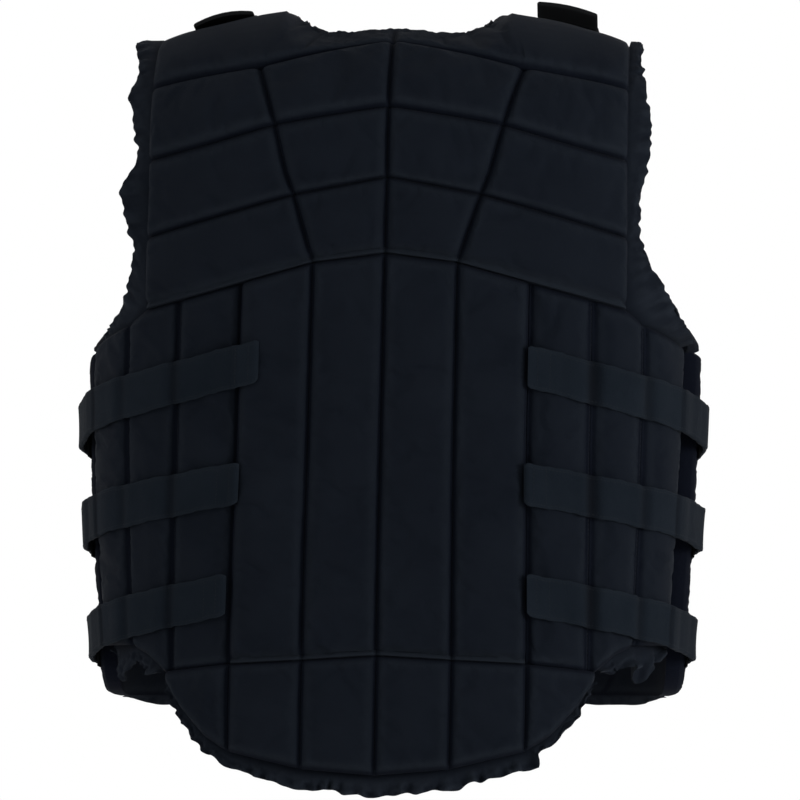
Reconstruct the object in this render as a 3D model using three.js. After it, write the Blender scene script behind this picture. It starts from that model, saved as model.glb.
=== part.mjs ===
// Equestrian body protector: a rider's quilted foam vest, in the shape that it takes when worn.
// Millimetres. +Z is up and +Y is the way the wearer faces. The origin lies between the shoulders.
// A place on the vest is a girth share (0 centre back, 0.5 side, 1 centre front, minus on the left)
// and a distance down the back from the shoulder's crest. A height stands off the lining.
import * as THREE from 'three';

// Form of the vest
const backLength = 540;
const shoulderTurn = 120;
const shoulderDepth = 90;
const halfWidth = 197;
const backDepth = 109;
const frontDepth = 114;
const squareness = 2.3;
const crestPeak = 16;
const crestFall = 23;
const crestReach = 0.8;
const frontStandOff = 3.5;

// Thickness of the pads and cloth
const channelThickness = 4;
const flankWidth = 6;
const yokeThickness = 16;
const barThickness = 16;
const tailThickness = 15;
const wingThickness = 12;
const frontThickness = 14;
const trimThickness = 2;
const strapThickness = 2.5;
const anchorThickness = 1.2;
const tabThickness = 2.6;
const zipThickness = 3;

// Widths and clearances
const seamGap = 0.4;
const restGap = 0.4;
const hemClearance = 2;
const strapWidth = 30;
const anchorOverhang = 4;
const tabWidth = 44;
const zipHalfWidth = 8;
const neckTrimWidth = 4.5;
const frontTrimWidth = 7;
const hemTrimWidth = 15;
const wingHemWidth = 20;
const gatherDepth = 1.6;
const frillLift = 5;
const neckLift = 1.5;
const hemLift = 2;
const padEdgeHeight = channelThickness / 2;
const tabRise = 9;
const tabOverhang = 24;
const tabSpring = 4.5;

// Seams and edges across the back, as girth shares
const seam = { centre: 0, inner: 0.0995, outer: 0.198, wingFirst: 0.287, wingSecond: 0.365 };
const yokeSide = 0.336;
const neckSide = 0.1455;
const wingEdge = 0.453;
const tailEnd = 0.298;
const frontEdge = 0.525;

// Section of the lining: where it lies down the back, and its shares of the three half sizes
const formSections = [
  { down: 0.222, width: 1.0, back: 0.955, front: 0.95 },
  { down: 0.333, width: 1.005, back: 1.0, front: 1.0 },
  { down: 0.5, width: 1.01, back: 0.963, front: 0.965 },
  { down: 0.667, width: 0.995, back: 0.917, front: 0.912 },
  { down: 0.852, width: 0.965, back: 0.917, front: 0.912 },
  { down: 1.056, width: 0.955, back: 0.972, front: 0.93 },
];

// How the back's cover sits on the wearer: it leans to one side on its way down, and spreads at
// the outer seam. Both are girth shares, and fade out between the two fade shares. The whole vest
// sways to the left by swayFall on its way down.
const leanTop = 0.0105;
const leanFall = 0.0147;
const drapeFade = { start: 0.2, end: 0.45 };
const swayFall = 3.5;
const swayReach = { start: 0.2, end: 0.8 };
const seamSpread = [
  { down: 0, spread: -0.002 },
  { down: 0.25, spread: -0.0045 },
  { down: 0.55, spread: -0.0035 },
  { down: 0.72, spread: 0.0042 },
  { down: 0.83, spread: 0.0098 },
  { down: 0.92, spread: 0.0122 },
  { down: 1.06, spread: 0.012 },
];

// Seam crossings of the yoke on one side: top edge, three seams and the raised lower edge
const yokeRows = [
  { centreDown: 0.07, diagonal: neckSide, diagonalDown: 0.0, sideDown: 0.0 },
  { centreDown: 0.0965, diagonal: 0.182, diagonalDown: 0.12, sideDown: 0.1245 },
  { centreDown: 0.1655, diagonal: 0.157, diagonalDown: 0.18, sideDown: 0.21 },
  { centreDown: 0.229, diagonal: 0.129, diagonalDown: 0.2535, sideDown: 0.309 },
  { centreDown: 0.328, diagonal: seam.inner, diagonalDown: 0.3395, sideDown: 0.4 },
];

// Edges that run round the vest: girth share against share of the back length
const neckline = [
  { girth: 0, down: 0.07 },
  { girth: 0.06, down: 0.0755 },
  { girth: 0.1, down: 0.0715 },
  { girth: 0.133, down: 0.047 },
  { girth: neckSide, down: 0 },
];
const yokeHem = [
  { girth: 0, down: 0.328 },
  { girth: seam.inner, down: 0.3395 },
  { girth: yokeSide, down: 0.4 },
];
const wingTop = [
  { girth: seam.outer, down: 0.3647 },
  { girth: yokeSide, down: 0.4 },
  { girth: 0.365, down: 0.42 },
  { girth: wingEdge, down: 0.45 },
];
const waistSeam = [
  { girth: 0, down: 0.846 },
  { girth: seam.inner, down: 0.852 },
  { girth: seam.outer, down: 0.857 },
  { girth: tailEnd, down: 0.867 },
];
const wingHem = [
  { girth: seam.outer, down: 0.857 },
  { girth: tailEnd, down: 0.867 },
  { girth: 0.33, down: 0.845 },
  { girth: seam.wingSecond, down: 0.832 },
  { girth: wingEdge, down: 0.833 },
];
const tailHem = [
  { girth: 0, down: 1.0 },
  { girth: seam.inner, down: 0.992 },
  { girth: seam.outer, down: 0.97 },
  { girth: 0.232, down: 0.95 },
  { girth: 0.268, down: 0.914 },
  { girth: tailEnd, down: 0.875 },
];

// Armhole, neck and hem of a front half, read down the front
const frontRows = [
  { down: 0.0, armhole: 1 - yokeSide, neck: 1 - neckSide },
  { down: 0.1, armhole: 0.684, neck: 0.892 },
  { down: 0.15, armhole: 0.696, neck: 0.925 },
  { down: 0.19, armhole: 0.702, neck: 0.957 },
  { down: 0.213, armhole: 0.703, neck: 1 },
  { down: 0.3, armhole: 0.688, neck: 1 },
  { down: 0.37, armhole: 0.645, neck: 1 },
  { down: 0.42, armhole: 0.584, neck: 1 },
  { down: 0.455, armhole: frontEdge, neck: 1 },
  { down: 0.855, armhole: frontEdge, neck: 1 },
  { down: 0.885, armhole: 0.54, neck: 1 },
  { down: 0.9, armhole: 0.572, neck: 1 },
];
const frontSeams = [0, 0.12, 0.213, 0.33, 0.455, 0.9];
const zipTopSeam = frontSeams[2];
const armholeEnd = frontSeams[4];
const frontMiddles = [2, 1, 0, 2, 4];
const frontColumns = 3;

// Free edge of the cloth frill at the back of the armhole, against its share of the sewn edge
const armholeFree = [
  { along: 0, girth: 0.366, down: 0.004 },
  { along: 0.15, girth: 0.364, down: 0.078 },
  { along: 0.35, girth: 0.362, down: 0.18 },
  { along: 0.5, girth: 0.36, down: 0.259 },
  { along: 0.62, girth: 0.3605, down: 0.323 },
  { along: 0.7, girth: 0.369, down: 0.348 },
  { along: 0.77, girth: 0.38, down: 0.376 },
  { along: 0.85, girth: 0.397, down: 0.408 },
  { along: 0.93, girth: 0.43, down: 0.431 },
  { along: 1, girth: 0.457, down: 0.443 },
];

// Side straps: where each starts on the left and right, and its centre line at both ends
const sideStraps = [
  { name: 'upper', leftStart: 0.168, rightStart: 0.196, startDown: 0.469, sideDown: 0.546 },
  { name: 'middle', leftStart: 0.19, rightStart: 0.193, startDown: 0.621, sideDown: 0.677 },
  { name: 'lower', leftStart: 0.202, rightStart: 0.197, startDown: 0.765, sideDown: 0.82 },
];
const strapReference = 0.19;
const strapEnd = 0.62;
const anchorStart = 0.532;
const anchorEnd = 0.612;
const strapStep = 0.004;
const strapFall = 0.03;
const strapEase = 0.3;

// Shoulder tabs: middle of each tab as a girth share of the front, and where it is sewn
const tabPlace = 0.766;
const tabSewnDown = 0.17;
const tabBend = 0.03;

// Gathers along each frill
const widthRipple = 0.22;
const outlinePitch = 0.63;
const outlinePhase = 1.9;
const gatherPhase = 0.7;
const gathers = { armhole: 9, neck: 7, hem: 11, wingHem: 3, frontHem: 7, frontArmhole: 9 };

const navy = new THREE.MeshStandardMaterial({ color: 0x12161c, roughness: 0.85, metalness: 0 });
const navyTrim = new THREE.MeshStandardMaterial({ color: 0x171b22, roughness: 0.9, metalness: 0 });
const webbing = new THREE.MeshStandardMaterial({ color: 0x1b1f27, roughness: 0.8, metalness: 0 });
const hookTape = new THREE.MeshStandardMaterial({ color: 0x0a0b0d, roughness: 0.95, metalness: 0 });
const zipBlack = new THREE.MeshStandardMaterial({ color: 0x0d0f12, roughness: 0.5, metalness: 0 });

// Straight reading of one column of a table
function readTable(rows, key, column, at) {
  const last = rows.length - 1;
  let row = 0;
  while (row < last - 1 && at > rows[row + 1][key]) row += 1;
  const span = rows[row + 1][key] - rows[row][key];
  const share = THREE.MathUtils.clamp((at - rows[row][key]) / span, 0, 1);
  return THREE.MathUtils.lerp(rows[row][column], rows[row + 1][column], share);
}

// Smooth reading of one column of a table
function readCurve(rows, key, column, at) {
  const last = rows.length - 1;
  let row = 0;
  while (row < last - 1 && at > rows[row + 1][key]) row += 1;
  const slope = (low, high) => (rows[high][column] - rows[low][column]) / (rows[high][key] - rows[low][key]);
  const span = rows[row + 1][key] - rows[row][key];
  const share = THREE.MathUtils.clamp((at - rows[row][key]) / span, 0, 1);
  const startSlope = row > 0 ? slope(row - 1, row + 1) : 0;
  const endSlope = row + 2 <= last ? slope(row, row + 2) : 0;
  const square = share * share;
  const cube = square * share;
  return (2 * cube - 3 * square + 1) * rows[row][column]
    + (cube - 2 * square + share) * span * startSlope
    + (3 * square - 2 * cube) * rows[row + 1][column]
    + (cube - square) * span * endSlope;
}

// Distances round the lining, so that a girth share can be turned into an angle
const girthSteps = 720;
const roundPower = 2 / squareness;
const girthTable = (() => {
  const table = [{ share: 0, angle: 0 }];
  let length = 0;
  let before = [0, -backDepth];
  for (let step = 1; step <= girthSteps; step += 1) {
    const angle = (Math.PI * step) / girthSteps;
    const depth = Math.cos(angle) > 0 ? -backDepth : frontDepth;
    const here = [
      halfWidth * Math.abs(Math.sin(angle)) ** roundPower,
      depth * Math.abs(Math.cos(angle)) ** roundPower,
    ];
    length += Math.hypot(here[0] - before[0], here[1] - before[1]);
    table.push({ share: length, angle });
    before = here;
  }
  return table.map((row) => ({ share: row.share / length, angle: row.angle, length }));
})();
const halfGirth = girthTable[girthSteps].length;

function girthAngle(share) {
  let low = 0;
  let high = girthSteps;
  while (high - low > 1) {
    const middle = (low + high) >> 1;
    if (girthTable[middle].share > share) high = middle;
    else low = middle;
  }
  const before = girthTable[low];
  const after = girthTable[high];
  const part = (share - before.share) / (after.share - before.share);
  return THREE.MathUtils.lerp(before.angle, after.angle, part);
}

// A girth share as it is worn, moved by the cover's lean and spread
function wornGirth(girth, level) {
  const near = 1 - THREE.MathUtils.smoothstep(Math.abs(girth), drapeFade.start, drapeFade.end);
  const spread = readCurve(seamSpread, 'down', 'spread', level) / seam.outer;
  return girth + near * (leanTop - leanFall * level + spread * girth);
}

// A point of the lining, where down is in millimetres
function liningPoint(girthShare, down) {
  const girth = wornGirth(girthShare, down / backLength);
  const turned = Math.abs(girth) > 1 ? -1 : 1;
  const share = turned < 0 ? 2 - Math.abs(girth) : Math.abs(girth);
  const side = (girth < 0 ? -1 : 1) * turned;
  const angle = girthAngle(share);
  const level = Math.max(down, shoulderTurn) / backLength;
  const onBack = Math.cos(angle) > 0;
  const width = halfWidth * readCurve(formSections, 'down', 'width', level);
  const depth = onBack
    ? -backDepth * readCurve(formSections, 'down', 'back', level)
    : frontDepth * readCurve(formSections, 'down', 'front', level);
  const sway = swayFall * THREE.MathUtils.smoothstep(level, swayReach.start, swayReach.end);
  const x = side * width * Math.abs(Math.sin(angle)) ** roundPower - sway;
  const y = depth * Math.abs(Math.cos(angle)) ** roundPower;
  if (down >= shoulderTurn) return new THREE.Vector3(x, y, -shoulderDepth - (down - shoulderTurn));
  const turn = ((shoulderTurn - down) / shoulderTurn) * (Math.PI / 2);
  const crest = crestPeak - crestFall * (x / (halfWidth * crestReach)) ** 2;
  const z = -shoulderDepth + (crest + shoulderDepth) * Math.sin(turn);
  return new THREE.Vector3(x, y * Math.cos(turn), z);
}

// A point at a height off the lining
function vestPoint(girth, down, height) {
  const girthStep = 0.003;
  const downStep = 1.2;
  const across = liningPoint(girth + girthStep, down).sub(liningPoint(girth - girthStep, down));
  const along = liningPoint(girth, down + downStep).sub(liningPoint(girth, down - downStep));
  const outward = along.cross(across).normalize();
  return liningPoint(girth, down).addScaledVector(outward, height);
}

// A closed wall between an outer and an inner grid of points
function wallSolid(outer, inner) {
  const rows = outer.length;
  const columns = outer[0].length;
  const points = [...outer.flat(), ...inner.flat()];
  const offset = rows * columns;
  const faces = [];
  const quad = (a, b, c, d) => faces.push(a, b, c, a, c, d);
  const at = (row, column) => row * columns + column;
  for (let row = 0; row < rows - 1; row += 1) {
    for (let column = 0; column < columns - 1; column += 1) {
      const corners = [at(row, column), at(row + 1, column), at(row + 1, column + 1), at(row, column + 1)];
      quad(...corners);
      quad(...corners.map((corner) => corner + offset).reverse());
    }
  }
  const rim = [];
  for (let column = 0; column < columns - 1; column += 1) rim.push(at(0, column));
  for (let row = 0; row < rows - 1; row += 1) rim.push(at(row, columns - 1));
  for (let column = columns - 1; column > 0; column -= 1) rim.push(at(rows - 1, column));
  for (let row = rows - 1; row > 0; row -= 1) rim.push(at(row, 0));
  rim.forEach((here, place) => {
    const next = rim[(place + 1) % rim.length];
    quad(here, next, next + offset, here + offset);
  });
  return closedGeometry(points, faces);
}

// A geometry from points and faces, turned so that its faces point out
function closedGeometry(points, faces) {
  let volume = 0;
  for (let face = 0; face < faces.length; face += 3) {
    const [a, b, c] = faces.slice(face, face + 3).map((index) => points[index]);
    volume += a.dot(b.clone().cross(c));
  }
  const turned = volume > 0 ? faces : [...faces].reverse();
  const geometry = new THREE.BufferGeometry();
  geometry.setAttribute('position', new THREE.Float32BufferAttribute(points.flatMap((p) => p.toArray()), 3));
  geometry.setIndex(turned);
  geometry.computeVertexNormals();
  return geometry;
}

// Steps across one quilted block: low at the seams, full between them
const flankLift = 0.85;
const crestLift = 0.35;
const shoulderLift = 0.5;
function blockSteps(first, length, middles) {
  const flank = Math.min(flankWidth / length, 0.3);
  const steps = [{ at: first, lift: 0 }, { at: first + flank, lift: flankLift }];
  for (let middle = 1; middle <= middles; middle += 1) {
    steps.push({ at: first + flank + ((1 - 2 * flank) * middle) / (middles + 1), lift: 1 });
  }
  steps.push({ at: first + 1 - flank, lift: flankLift });
  return steps;
}

// A quilted pad, with the places of its grid kept so that frills follow its real edges.
// place(u, v) gives girth and down for u across its blocks and v down them.
function quiltedPad({ columns, rows, place, thickness, base, topLift, seamAt, middles }) {
  const spot = (u, v) => {
    const { girth, down } = place(u, v);
    return liningPoint(girth, down);
  };
  const across = [];
  for (let column = 0; column < columns; column += 1) {
    const length = spot(column, rows / 2).distanceTo(spot(column + 1, rows / 2));
    across.push(...blockSteps(column, length, middles.across(column)));
  }
  across.push({ at: columns, lift: 0 });
  const downwards = [];
  for (let row = 0; row < rows; row += 1) {
    const length = spot(columns / 2 + 0.5, row).distanceTo(spot(columns / 2 + 0.5, row + 1));
    downwards.push(...blockSteps(row, length, middles.down(row)));
  }
  downwards.push({ at: rows, lift: 0 });
  downwards[0].lift = topLift;
  if (topLift > 0) downwards[1].lift = shoulderLift;
  const places = downwards.map((step) => across.map((stride) => place(stride.at, step.at)));
  const liftAt = (stride, step) => (seamAt(stride.at, step.at) ? stride.lift : 1) * step.lift;
  const inner = places.map((row) => row.map(({ girth, down }) => vestPoint(girth, down, base(girth, down))));
  const outer = places.map((row, line) => row.map(({ girth, down }, column) => {
    const lift = liftAt(across[column], downwards[line]);
    const height = channelThickness + (thickness - channelThickness) * lift;
    return vestPoint(girth, down, base(girth, down) + height);
  }));
  return { places, geometry: wallSolid(outer, inner) };
}

const flatBase = () => 0;
const always = () => true;
const gapShare = seamGap / 2 / halfGirth;

// The yoke: four columns of blocks in four rows, with its diagonals from the first seam down
function backYoke() {
  const blockRows = yokeRows.length - 1;
  const place = (u, v) => {
    const row = Math.min(Math.floor(v), blockRows - 1);
    const share = v - row;
    const mix = (key) => THREE.MathUtils.lerp(yokeRows[row][key], yokeRows[row + 1][key], share);
    const side = u < 2 ? -1 : 1;
    const out = Math.abs(u - 2);
    const centreDown = mix('centreDown');
    const diagonal = mix('diagonal');
    const sideLimit = yokeSide - gapShare;
    const girth = out <= 1 ? out * diagonal : THREE.MathUtils.lerp(diagonal, sideLimit, out - 1);
    let down = out <= 1
      ? THREE.MathUtils.lerp(centreDown, mix('diagonalDown'), out)
      : THREE.MathUtils.lerp(mix('diagonalDown'), mix('sideDown'), out - 1);
    if (row === 0 && out <= 1) {
      const top = readTable(neckline, 'girth', 'down', out * neckSide);
      const first = yokeRows[1];
      const bottom = THREE.MathUtils.lerp(first.centreDown, first.diagonalDown, out);
      down = THREE.MathUtils.lerp(top, bottom, share);
    }
    const trimmed = THREE.MathUtils.clamp(down * backLength, seamGap / 2, Infinity);
    return { girth: side * girth, down: v === blockRows ? trimmed - seamGap / 2 : trimmed };
  };
  const onDiagonal = (u) => Math.abs(u - 2) > 0.5 && Math.abs(u - 2) < 1.5;
  return quiltedPad({
    columns: 4,
    rows: blockRows,
    place,
    thickness: yokeThickness,
    base: flatBase,
    topLift: crestLift,
    seamAt: (u, v) => !(onDiagonal(u) && v < 1),
    middles: { across: (column) => (column === 1 || column === 2 ? 3 : 1), down: () => 1 },
  });
}

// Four long bars, two each side of the centre seam
function backBars() {
  const lines = [-seam.outer + gapShare, -seam.inner, seam.centre, seam.inner, seam.outer - gapShare];
  const place = (u, v) => {
    const column = Math.min(Math.floor(u), lines.length - 2);
    const girth = THREE.MathUtils.lerp(lines[column], lines[column + 1], u - column);
    const top = readTable(yokeHem, 'girth', 'down', Math.abs(girth)) * backLength + seamGap / 2;
    const bottom = readTable(waistSeam, 'girth', 'down', Math.abs(girth)) * backLength - seamGap / 2;
    return { girth, down: THREE.MathUtils.lerp(top, bottom, v) };
  };
  return quiltedPad({
    columns: lines.length - 1,
    rows: 1,
    place,
    thickness: barThickness,
    base: flatBase,
    topLift: 0,
    seamAt: always,
    middles: { across: () => 1, down: () => 6 },
  });
}

// The rounded tail below the waist seam, six blocks wide
function backTail() {
  const half = [seam.inner, seam.outer, tailEnd];
  const lines = [...half.map((share) => -share).reverse(), seam.centre, ...half];
  const place = (u, v) => {
    const column = Math.min(Math.floor(u), lines.length - 2);
    const girth = THREE.MathUtils.lerp(lines[column], lines[column + 1], u - column);
    const top = readTable(waistSeam, 'girth', 'down', Math.abs(girth)) * backLength + seamGap / 2;
    const bottom = readTable(tailHem, 'girth', 'down', Math.abs(girth)) * backLength;
    return { girth, down: THREE.MathUtils.lerp(top, bottom, v) };
  };
  return quiltedPad({
    columns: lines.length - 1,
    rows: 1,
    place,
    thickness: tailThickness,
    base: flatBase,
    topLift: 0,
    seamAt: always,
    middles: { across: () => 1, down: () => 1 },
  });
}

// A side wing of three upright blocks
function backWing(side) {
  const lines = [seam.outer + gapShare, seam.wingFirst, seam.wingSecond, wingEdge];
  const place = (u, v) => {
    const column = Math.min(Math.floor(u), lines.length - 2);
    const girth = THREE.MathUtils.lerp(lines[column], lines[column + 1], u - column);
    const top = readTable(wingTop, 'girth', 'down', girth) * backLength + seamGap / 2;
    const bottom = readTable(wingHem, 'girth', 'down', girth) * backLength - seamGap / 2;
    return { girth: side * girth, down: THREE.MathUtils.lerp(top, bottom, v) };
  };
  return quiltedPad({
    columns: lines.length - 1,
    rows: 1,
    place,
    thickness: wingThickness,
    base: flatBase,
    topLift: 0,
    seamAt: always,
    middles: { across: () => 1, down: () => 5 },
  });
}

// The front stands a little off the lining, but meets it at the shoulder
function frontBase(girth, down) {
  return frontStandOff * THREE.MathUtils.smoothstep(down, 0, shoulderTurn);
}

// Neck side of a front half, kept off the zip
function frontNeck(down) {
  const zipShare = 1 - (zipHalfWidth + seamGap) / halfGirth;
  return Math.min(readTable(frontRows, 'down', 'neck', down / backLength), zipShare);
}

function frontArmhole(down) {
  return readTable(frontRows, 'down', 'armhole', down / backLength) + gapShare;
}

// A front half from the shoulder to the hem
function frontPanel(side) {
  const place = (u, v) => {
    const row = Math.min(Math.floor(v), frontSeams.length - 2);
    const down = THREE.MathUtils.lerp(frontSeams[row], frontSeams[row + 1], v - row) * backLength;
    const kept = Math.max(down, seamGap / 2);
    const girth = THREE.MathUtils.lerp(frontArmhole(kept), frontNeck(kept), u / frontColumns);
    return { girth: side * girth, down: kept };
  };
  return quiltedPad({
    columns: frontColumns,
    rows: frontSeams.length - 1,
    place,
    thickness: frontThickness,
    base: frontBase,
    topLift: crestLift,
    seamAt: always,
    middles: { across: () => 1, down: (row) => frontMiddles[row] },
  });
}

// The closed zip between the two front halves
function frontZip() {
  const start = zipTopSeam * backLength;
  const end = frontSeams[frontSeams.length - 1] * backLength;
  const steps = 10;
  const low = frontStandOff + channelThickness / 2;
  const grid = (height) => Array.from({ length: steps + 1 }, (_, step) => {
    const down = THREE.MathUtils.lerp(start, end, step / steps);
    return [-1, 0, 1].map((across) => vestPoint(1 + (across * zipHalfWidth) / halfGirth, down, height));
  });
  return wallSolid(grid(low + zipThickness), grid(low));
}

// An edge of a pad as a line that is read by its share of the whole, with the shares of its corners
function edgeLine(places) {
  const reach = [0];
  for (let spot = 1; spot < places.length; spot += 1) {
    const across = (places[spot].girth - places[spot - 1].girth) * halfGirth;
    reach.push(reach[spot - 1] + Math.hypot(across, places[spot].down - places[spot - 1].down));
  }
  const length = reach[reach.length - 1];
  const rows = places.map((spot, index) => ({ along: reach[index] / length, ...spot }));
  const at = (along) => ({
    girth: readTable(rows, 'along', 'girth', along),
    down: readTable(rows, 'along', 'down', along),
  });
  return { at, corners: rows.map((row) => row.along) };
}

// The line moved sideways: outward is 1 or -1, and width a distance at each share
function offsetLine(line, outward, width) {
  const step = 0.003;
  return (along) => {
    const before = line.at(Math.max(along - step, 0));
    const after = line.at(Math.min(along + step, 1));
    const across = (after.girth - before.girth) * halfGirth;
    const downwards = after.down - before.down;
    const length = Math.hypot(across, downwards);
    const here = line.at(along);
    const reach = outward * width(along);
    return {
      girth: here.girth - (reach * downwards) / length / halfGirth,
      down: here.down + (reach * across) / length,
    };
  };
}

// The wave of a frill's outline, which is slower than its gathers
function outlineWave(gatherCount, along) {
  return Math.sin(2 * Math.PI * gatherCount * outlinePitch * along + outlinePhase);
}

// A width that swells and shrinks along the line with its gathers
function rippled(width, gatherCount) {
  return (along) => width * (1 + widthRipple * outlineWave(gatherCount, along));
}

// A gathered frill sewn a seam gap outside a pad's edge, with its height waving towards its free edge
function frill({ line, outward, width, free, steps, gatherCount, lift, base }) {
  const sewn = offsetLine(line, outward, () => seamGap);
  const loose = free ?? offsetLine(line, outward, width);
  const even = Array.from({ length: steps + 1 }, (_, step) => step / steps);
  const clear = (along) => line.corners.every((corner) => Math.abs(corner - along) > 0.4 / steps);
  const shares = [...line.corners, ...even.filter(clear)].sort((a, b) => a - b);
  const layer = (offset) => shares.map((along) => {
    const inner = sewn(along);
    const outer = loose(along);
    const swing = Math.sin(2 * Math.PI * gatherCount * along + gatherPhase);
    const lifts = [0, lift + gatherDepth * swing];
    return [inner, outer].map(({ girth, down }, edge) => {
      const kept = Math.max(down, seamGap / 2);
      return vestPoint(girth, kept, base(girth, kept) + padEdgeHeight + lifts[edge] + offset);
    });
  });
  return wallSolid(layer(trimThickness / 2), layer(-trimThickness / 2));
}

const columnOf = (pad, column) => pad.places.map((row) => row.at(column));

function armholeBack(side, yoke, wing) {
  const yokeEdge = columnOf(yoke, side < 0 ? 0 : -1);
  const wingEdgeTop = wing.places[0].filter((spot) => Math.abs(spot.girth) > yokeSide);
  const line = edgeLine([...yokeEdge, ...wingEdgeTop]);
  const free = (along) => {
    const ripple = gatherDepth * outlineWave(gathers.armhole, along);
    return {
      girth: side * (readTable(armholeFree, 'along', 'girth', along) + ripple / halfGirth),
      down: readTable(armholeFree, 'along', 'down', along) * backLength,
    };
  };
  return frill({
    line,
    outward: -side,
    free,
    steps: 30,
    gatherCount: gathers.armhole,
    lift: frillLift,
    base: flatBase,
  });
}

function armholeFront(side, front) {
  const edge = columnOf(front, 0).filter((spot) => spot.down <= armholeEnd * backLength + seamGap);
  return frill({
    line: edgeLine(edge),
    outward: side,
    width: rippled(frontTrimWidth, gathers.frontArmhole),
    steps: 22,
    gatherCount: gathers.frontArmhole,
    lift: frillLift / 2,
    base: frontBase,
  });
}

function neckBack(yoke) {
  const edge = yoke.places[0].filter((spot) => Math.abs(spot.girth) < neckSide + gapShare);
  return frill({
    line: edgeLine(edge),
    outward: -1,
    width: rippled(neckTrimWidth, gathers.neck),
    steps: 24,
    gatherCount: gathers.neck,
    lift: neckLift,
    base: flatBase,
  });
}

function neckFront(side, front) {
  const zipTop = zipTopSeam * backLength;
  const edge = columnOf(front, -1).filter((spot) => spot.down <= zipTop + seamGap);
  return frill({
    line: edgeLine(edge),
    outward: -side,
    width: rippled(neckTrimWidth, gathers.neck),
    steps: 14,
    gatherCount: gathers.neck,
    lift: neckLift,
    base: frontBase,
  });
}

function hemBack(tail) {
  return frill({
    line: edgeLine(tail.places.at(-1)),
    outward: 1,
    width: rippled(hemTrimWidth, gathers.hem),
    steps: 34,
    gatherCount: gathers.hem,
    lift: hemLift,
    base: flatBase,
  });
}

// Loose gathered cloth below a wing
function wingHemCloth(side, wing) {
  const rim = wing.places.at(-1).map(({ girth, down }) => ({ out: Math.abs(girth), down }));
  const start = tailEnd + hemClearance / halfGirth;
  const first = { out: start, down: readTable(rim, 'out', 'down', start) };
  const spots = [first, ...rim.filter(({ out }) => out > start)];
  const edge = spots.map(({ out, down }) => ({ girth: side * out, down }));
  const swell = (along) => 0.5 + 0.5 * Math.sin(Math.PI * along);
  return frill({
    line: edgeLine(edge),
    outward: side,
    width: (along) => wingHemWidth * swell(along),
    steps: 14,
    gatherCount: gathers.wingHem,
    lift: hemLift,
    base: flatBase,
  });
}

function hemFront(side, front) {
  return frill({
    line: edgeLine(front.places.at(-1)),
    outward: side,
    width: rippled(frontTrimWidth, gathers.frontHem),
    steps: 14,
    gatherCount: gathers.frontHem,
    lift: hemLift,
    base: frontBase,
  });
}

// Height of a strap's inner face off the lining, as it passes from a bar to the wing and the front
const onBar = barThickness + restGap;
const onWing = wingThickness + restGap + strapEase;
const onFront = frontStandOff + frontThickness + restGap;
const onAnchor = onFront + anchorThickness + restGap;
const strapHeights = [
  { girth: seam.inner, height: onBar },
  { girth: seam.outer, height: onBar },
  { girth: seam.outer + strapStep, height: (onBar + onWing) / 2 },
  { girth: seam.outer + strapFall, height: onWing },
  { girth: wingEdge + strapStep, height: onWing },
  { girth: frontEdge - strapStep, height: onAnchor },
  { girth: 1, height: onAnchor },
];

// Centre line of a strap, which slopes down towards the front
function strapDown(strap, girth) {
  const slope = (strap.sideDown - strap.startDown) / (0.5 - strapReference);
  return (strap.startDown + slope * (girth - strapReference)) * backLength;
}

function sideStrap(strap, side) {
  const start = side < 0 ? strap.leftStart : strap.rightStart;
  const steps = 28;
  const grid = (lift) => Array.from({ length: steps + 1 }, (_, step) => {
    const girth = THREE.MathUtils.lerp(start, strapEnd, step / steps);
    const height = readTable(strapHeights, 'girth', 'height', girth) + lift;
    const middle = strapDown(strap, girth);
    return [-0.5, 0.5].map((across) => vestPoint(side * girth, middle + across * strapWidth, height));
  });
  return wallSolid(grid(strapThickness), grid(0));
}

// The patch of tape that a strap is sewn to at the front's side
function strapAnchor(strap, side) {
  const steps = 6;
  const height = strapWidth / 2 + anchorOverhang;
  const grid = (lift) => Array.from({ length: steps + 1 }, (_, step) => {
    const girth = THREE.MathUtils.lerp(anchorStart, anchorEnd, step / steps);
    const middle = strapDown(strap, girth);
    return [-1, 1].map((across) => vestPoint(side * girth, middle + across * height, onFront + lift));
  });
  return wallSolid(grid(anchorThickness), grid(0));
}

// The left tab lies over the shoulder, and the right tab's free end stands up at the crest
const crestThickness = channelThickness + (yokeThickness - channelThickness) * crestLift;

// Height of a tab's inner face, which clears the front's pads and comes down at the crest
function tabHeight(down) {
  const swell = THREE.MathUtils.smoothstep(down, 0, shoulderTurn / 6);
  return frontBase(0, down) + THREE.MathUtils.lerp(crestThickness, frontThickness, swell) + restGap;
}

// A tab from where it is sewn to its last place on the shoulder, and on by steps from there
function shoulderTab(side, lastDown, beyond) {
  const steps = 8;
  const half = tabWidth / 2 / halfGirth;
  const layer = (lift) => {
    const grid = Array.from({ length: steps + 1 }, (_, step) => {
      const down = THREE.MathUtils.lerp(tabSewnDown * backLength, lastDown, step / steps);
      const height = tabHeight(down) + lift;
      return [-half, 0, half].map((across) => vestPoint(side * (tabPlace + across), down, height));
    });
    const last = grid[steps];
    [0.4, 1].forEach((share) => {
      const offset = beyond.clone().multiplyScalar(share);
      grid.push(last.map((point) => point.clone().add(offset)));
    });
    return grid;
  };
  return wallSolid(layer(tabThickness), layer(0));
}

const layingTab = new THREE.Vector3(0, -tabOverhang, tabSpring);
const standingTab = new THREE.Vector3(0, -tabThickness, tabRise);
const shoulderTabOver = () => shoulderTab(-1, 0, layingTab);
const shoulderTabUp = () => shoulderTab(1, tabBend * backLength, standingTab);

const vest = new THREE.Group();

function addPiece(name, geometry, material) {
  const mesh = new THREE.Mesh(geometry, material);
  mesh.name = name;
  vest.add(mesh);
}

const sides = [{ name: 'left', sign: -1 }, { name: 'right', sign: 1 }];

const yoke = backYoke();
const tail = backTail();

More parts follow.
